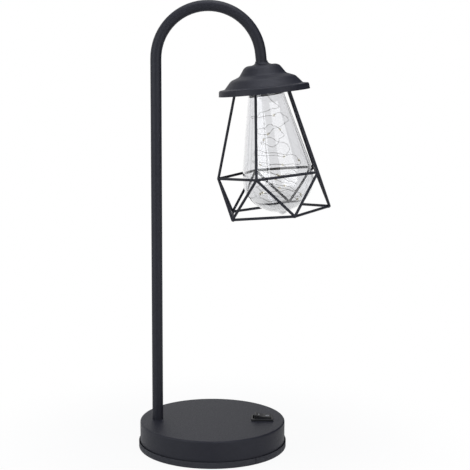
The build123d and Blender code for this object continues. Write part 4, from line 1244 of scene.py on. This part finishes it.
print("screen of", len(dark_screen().data.polygons), "faces")


# %% Functions for lamps
BEFORE_FIRST_PASS = 0.5


def soft_lamp(name, place, target, width, height, power, tint):
    """An upright area lamp aimed at a point."""
    data = bpy.data.lights.new(name, "AREA")
    data.shape = "RECTANGLE"
    data.size = width
    data.size_y = height
    data.energy = power
    data.color = tint
    lamp = new_object(name, data)
    lamp.location = place
    lamp.rotation_mode = "QUATERNION"
    lamp.rotation_quaternion = (Vector(target) - Vector(place)).to_track_quat("-Z", "Y")
    lamp.visible_camera = False
    print(name, power, "W")
    return lamp


def hide_through_glass(lamp):
    """Leave a lamp out of what is seen straight through glass, and keep it in reflections."""
    lamp.data.use_nodes = True
    tree = lamp.data.node_tree
    path = add(tree, "ShaderNodeLightPath").outputs
    open_air = calc(tree, "LESS_THAN", path["Transmission Depth"], BEFORE_FIRST_PASS)
    either = {0: path["Glossy Depth"], 1: open_air}
    shown = add(tree, "ShaderNodeMath", either, operation="MAXIMUM", use_clamp=True)
    tree.links.new(shown.outputs[0], tree.nodes["Emission"].inputs["Strength"])


print("lamp helpers: soft_lamp and hide_through_glass")

# %% Lamps
LIT_POINT = (0.03, 0, 0.18)
LOW_POINT = (0, 0, 0.1)
TOP_SIZE = (1.2, 1.2)
FILL_SIZE = (0.7, 0.8)
STREAK_HEIGHT = 1.3

soft_lamp("top_softbox", (0.1, -0.2, 1.6), LOW_POINT, *TOP_SIZE, 16.5, (0.88, 0.90, 1.0))
for name, place, power, tint in (
    ("left_fill", (-1.25, -0.65, 0.2), 7.5, (0.78, 0.89, 1.0)),
    ("right_fill", (1.25, -0.75, 0.2), 8.5, (0.97, 0.98, 1.0)),
):
    fill_box = soft_lamp(name, place, LIT_POINT, *FILL_SIZE, power, tint)
    fill_box.visible_glossy = False
    fill_box.visible_transmission = False
for name, place, width, power, tint in (
    ("left_streak", (-1.02, -0.91, 0.45), 1.17, 16.0, (0.95, 0.97, 1.0)),
    ("right_streak", (0.88, -1.12, 0.45), 1.45, 15.0, (0.98, 0.99, 1.0)),
):
    streak_box = soft_lamp(name, place, LIT_POINT, width, STREAK_HEIGHT, power, tint)
    streak_box.visible_diffuse = False
    hide_through_glass(streak_box)
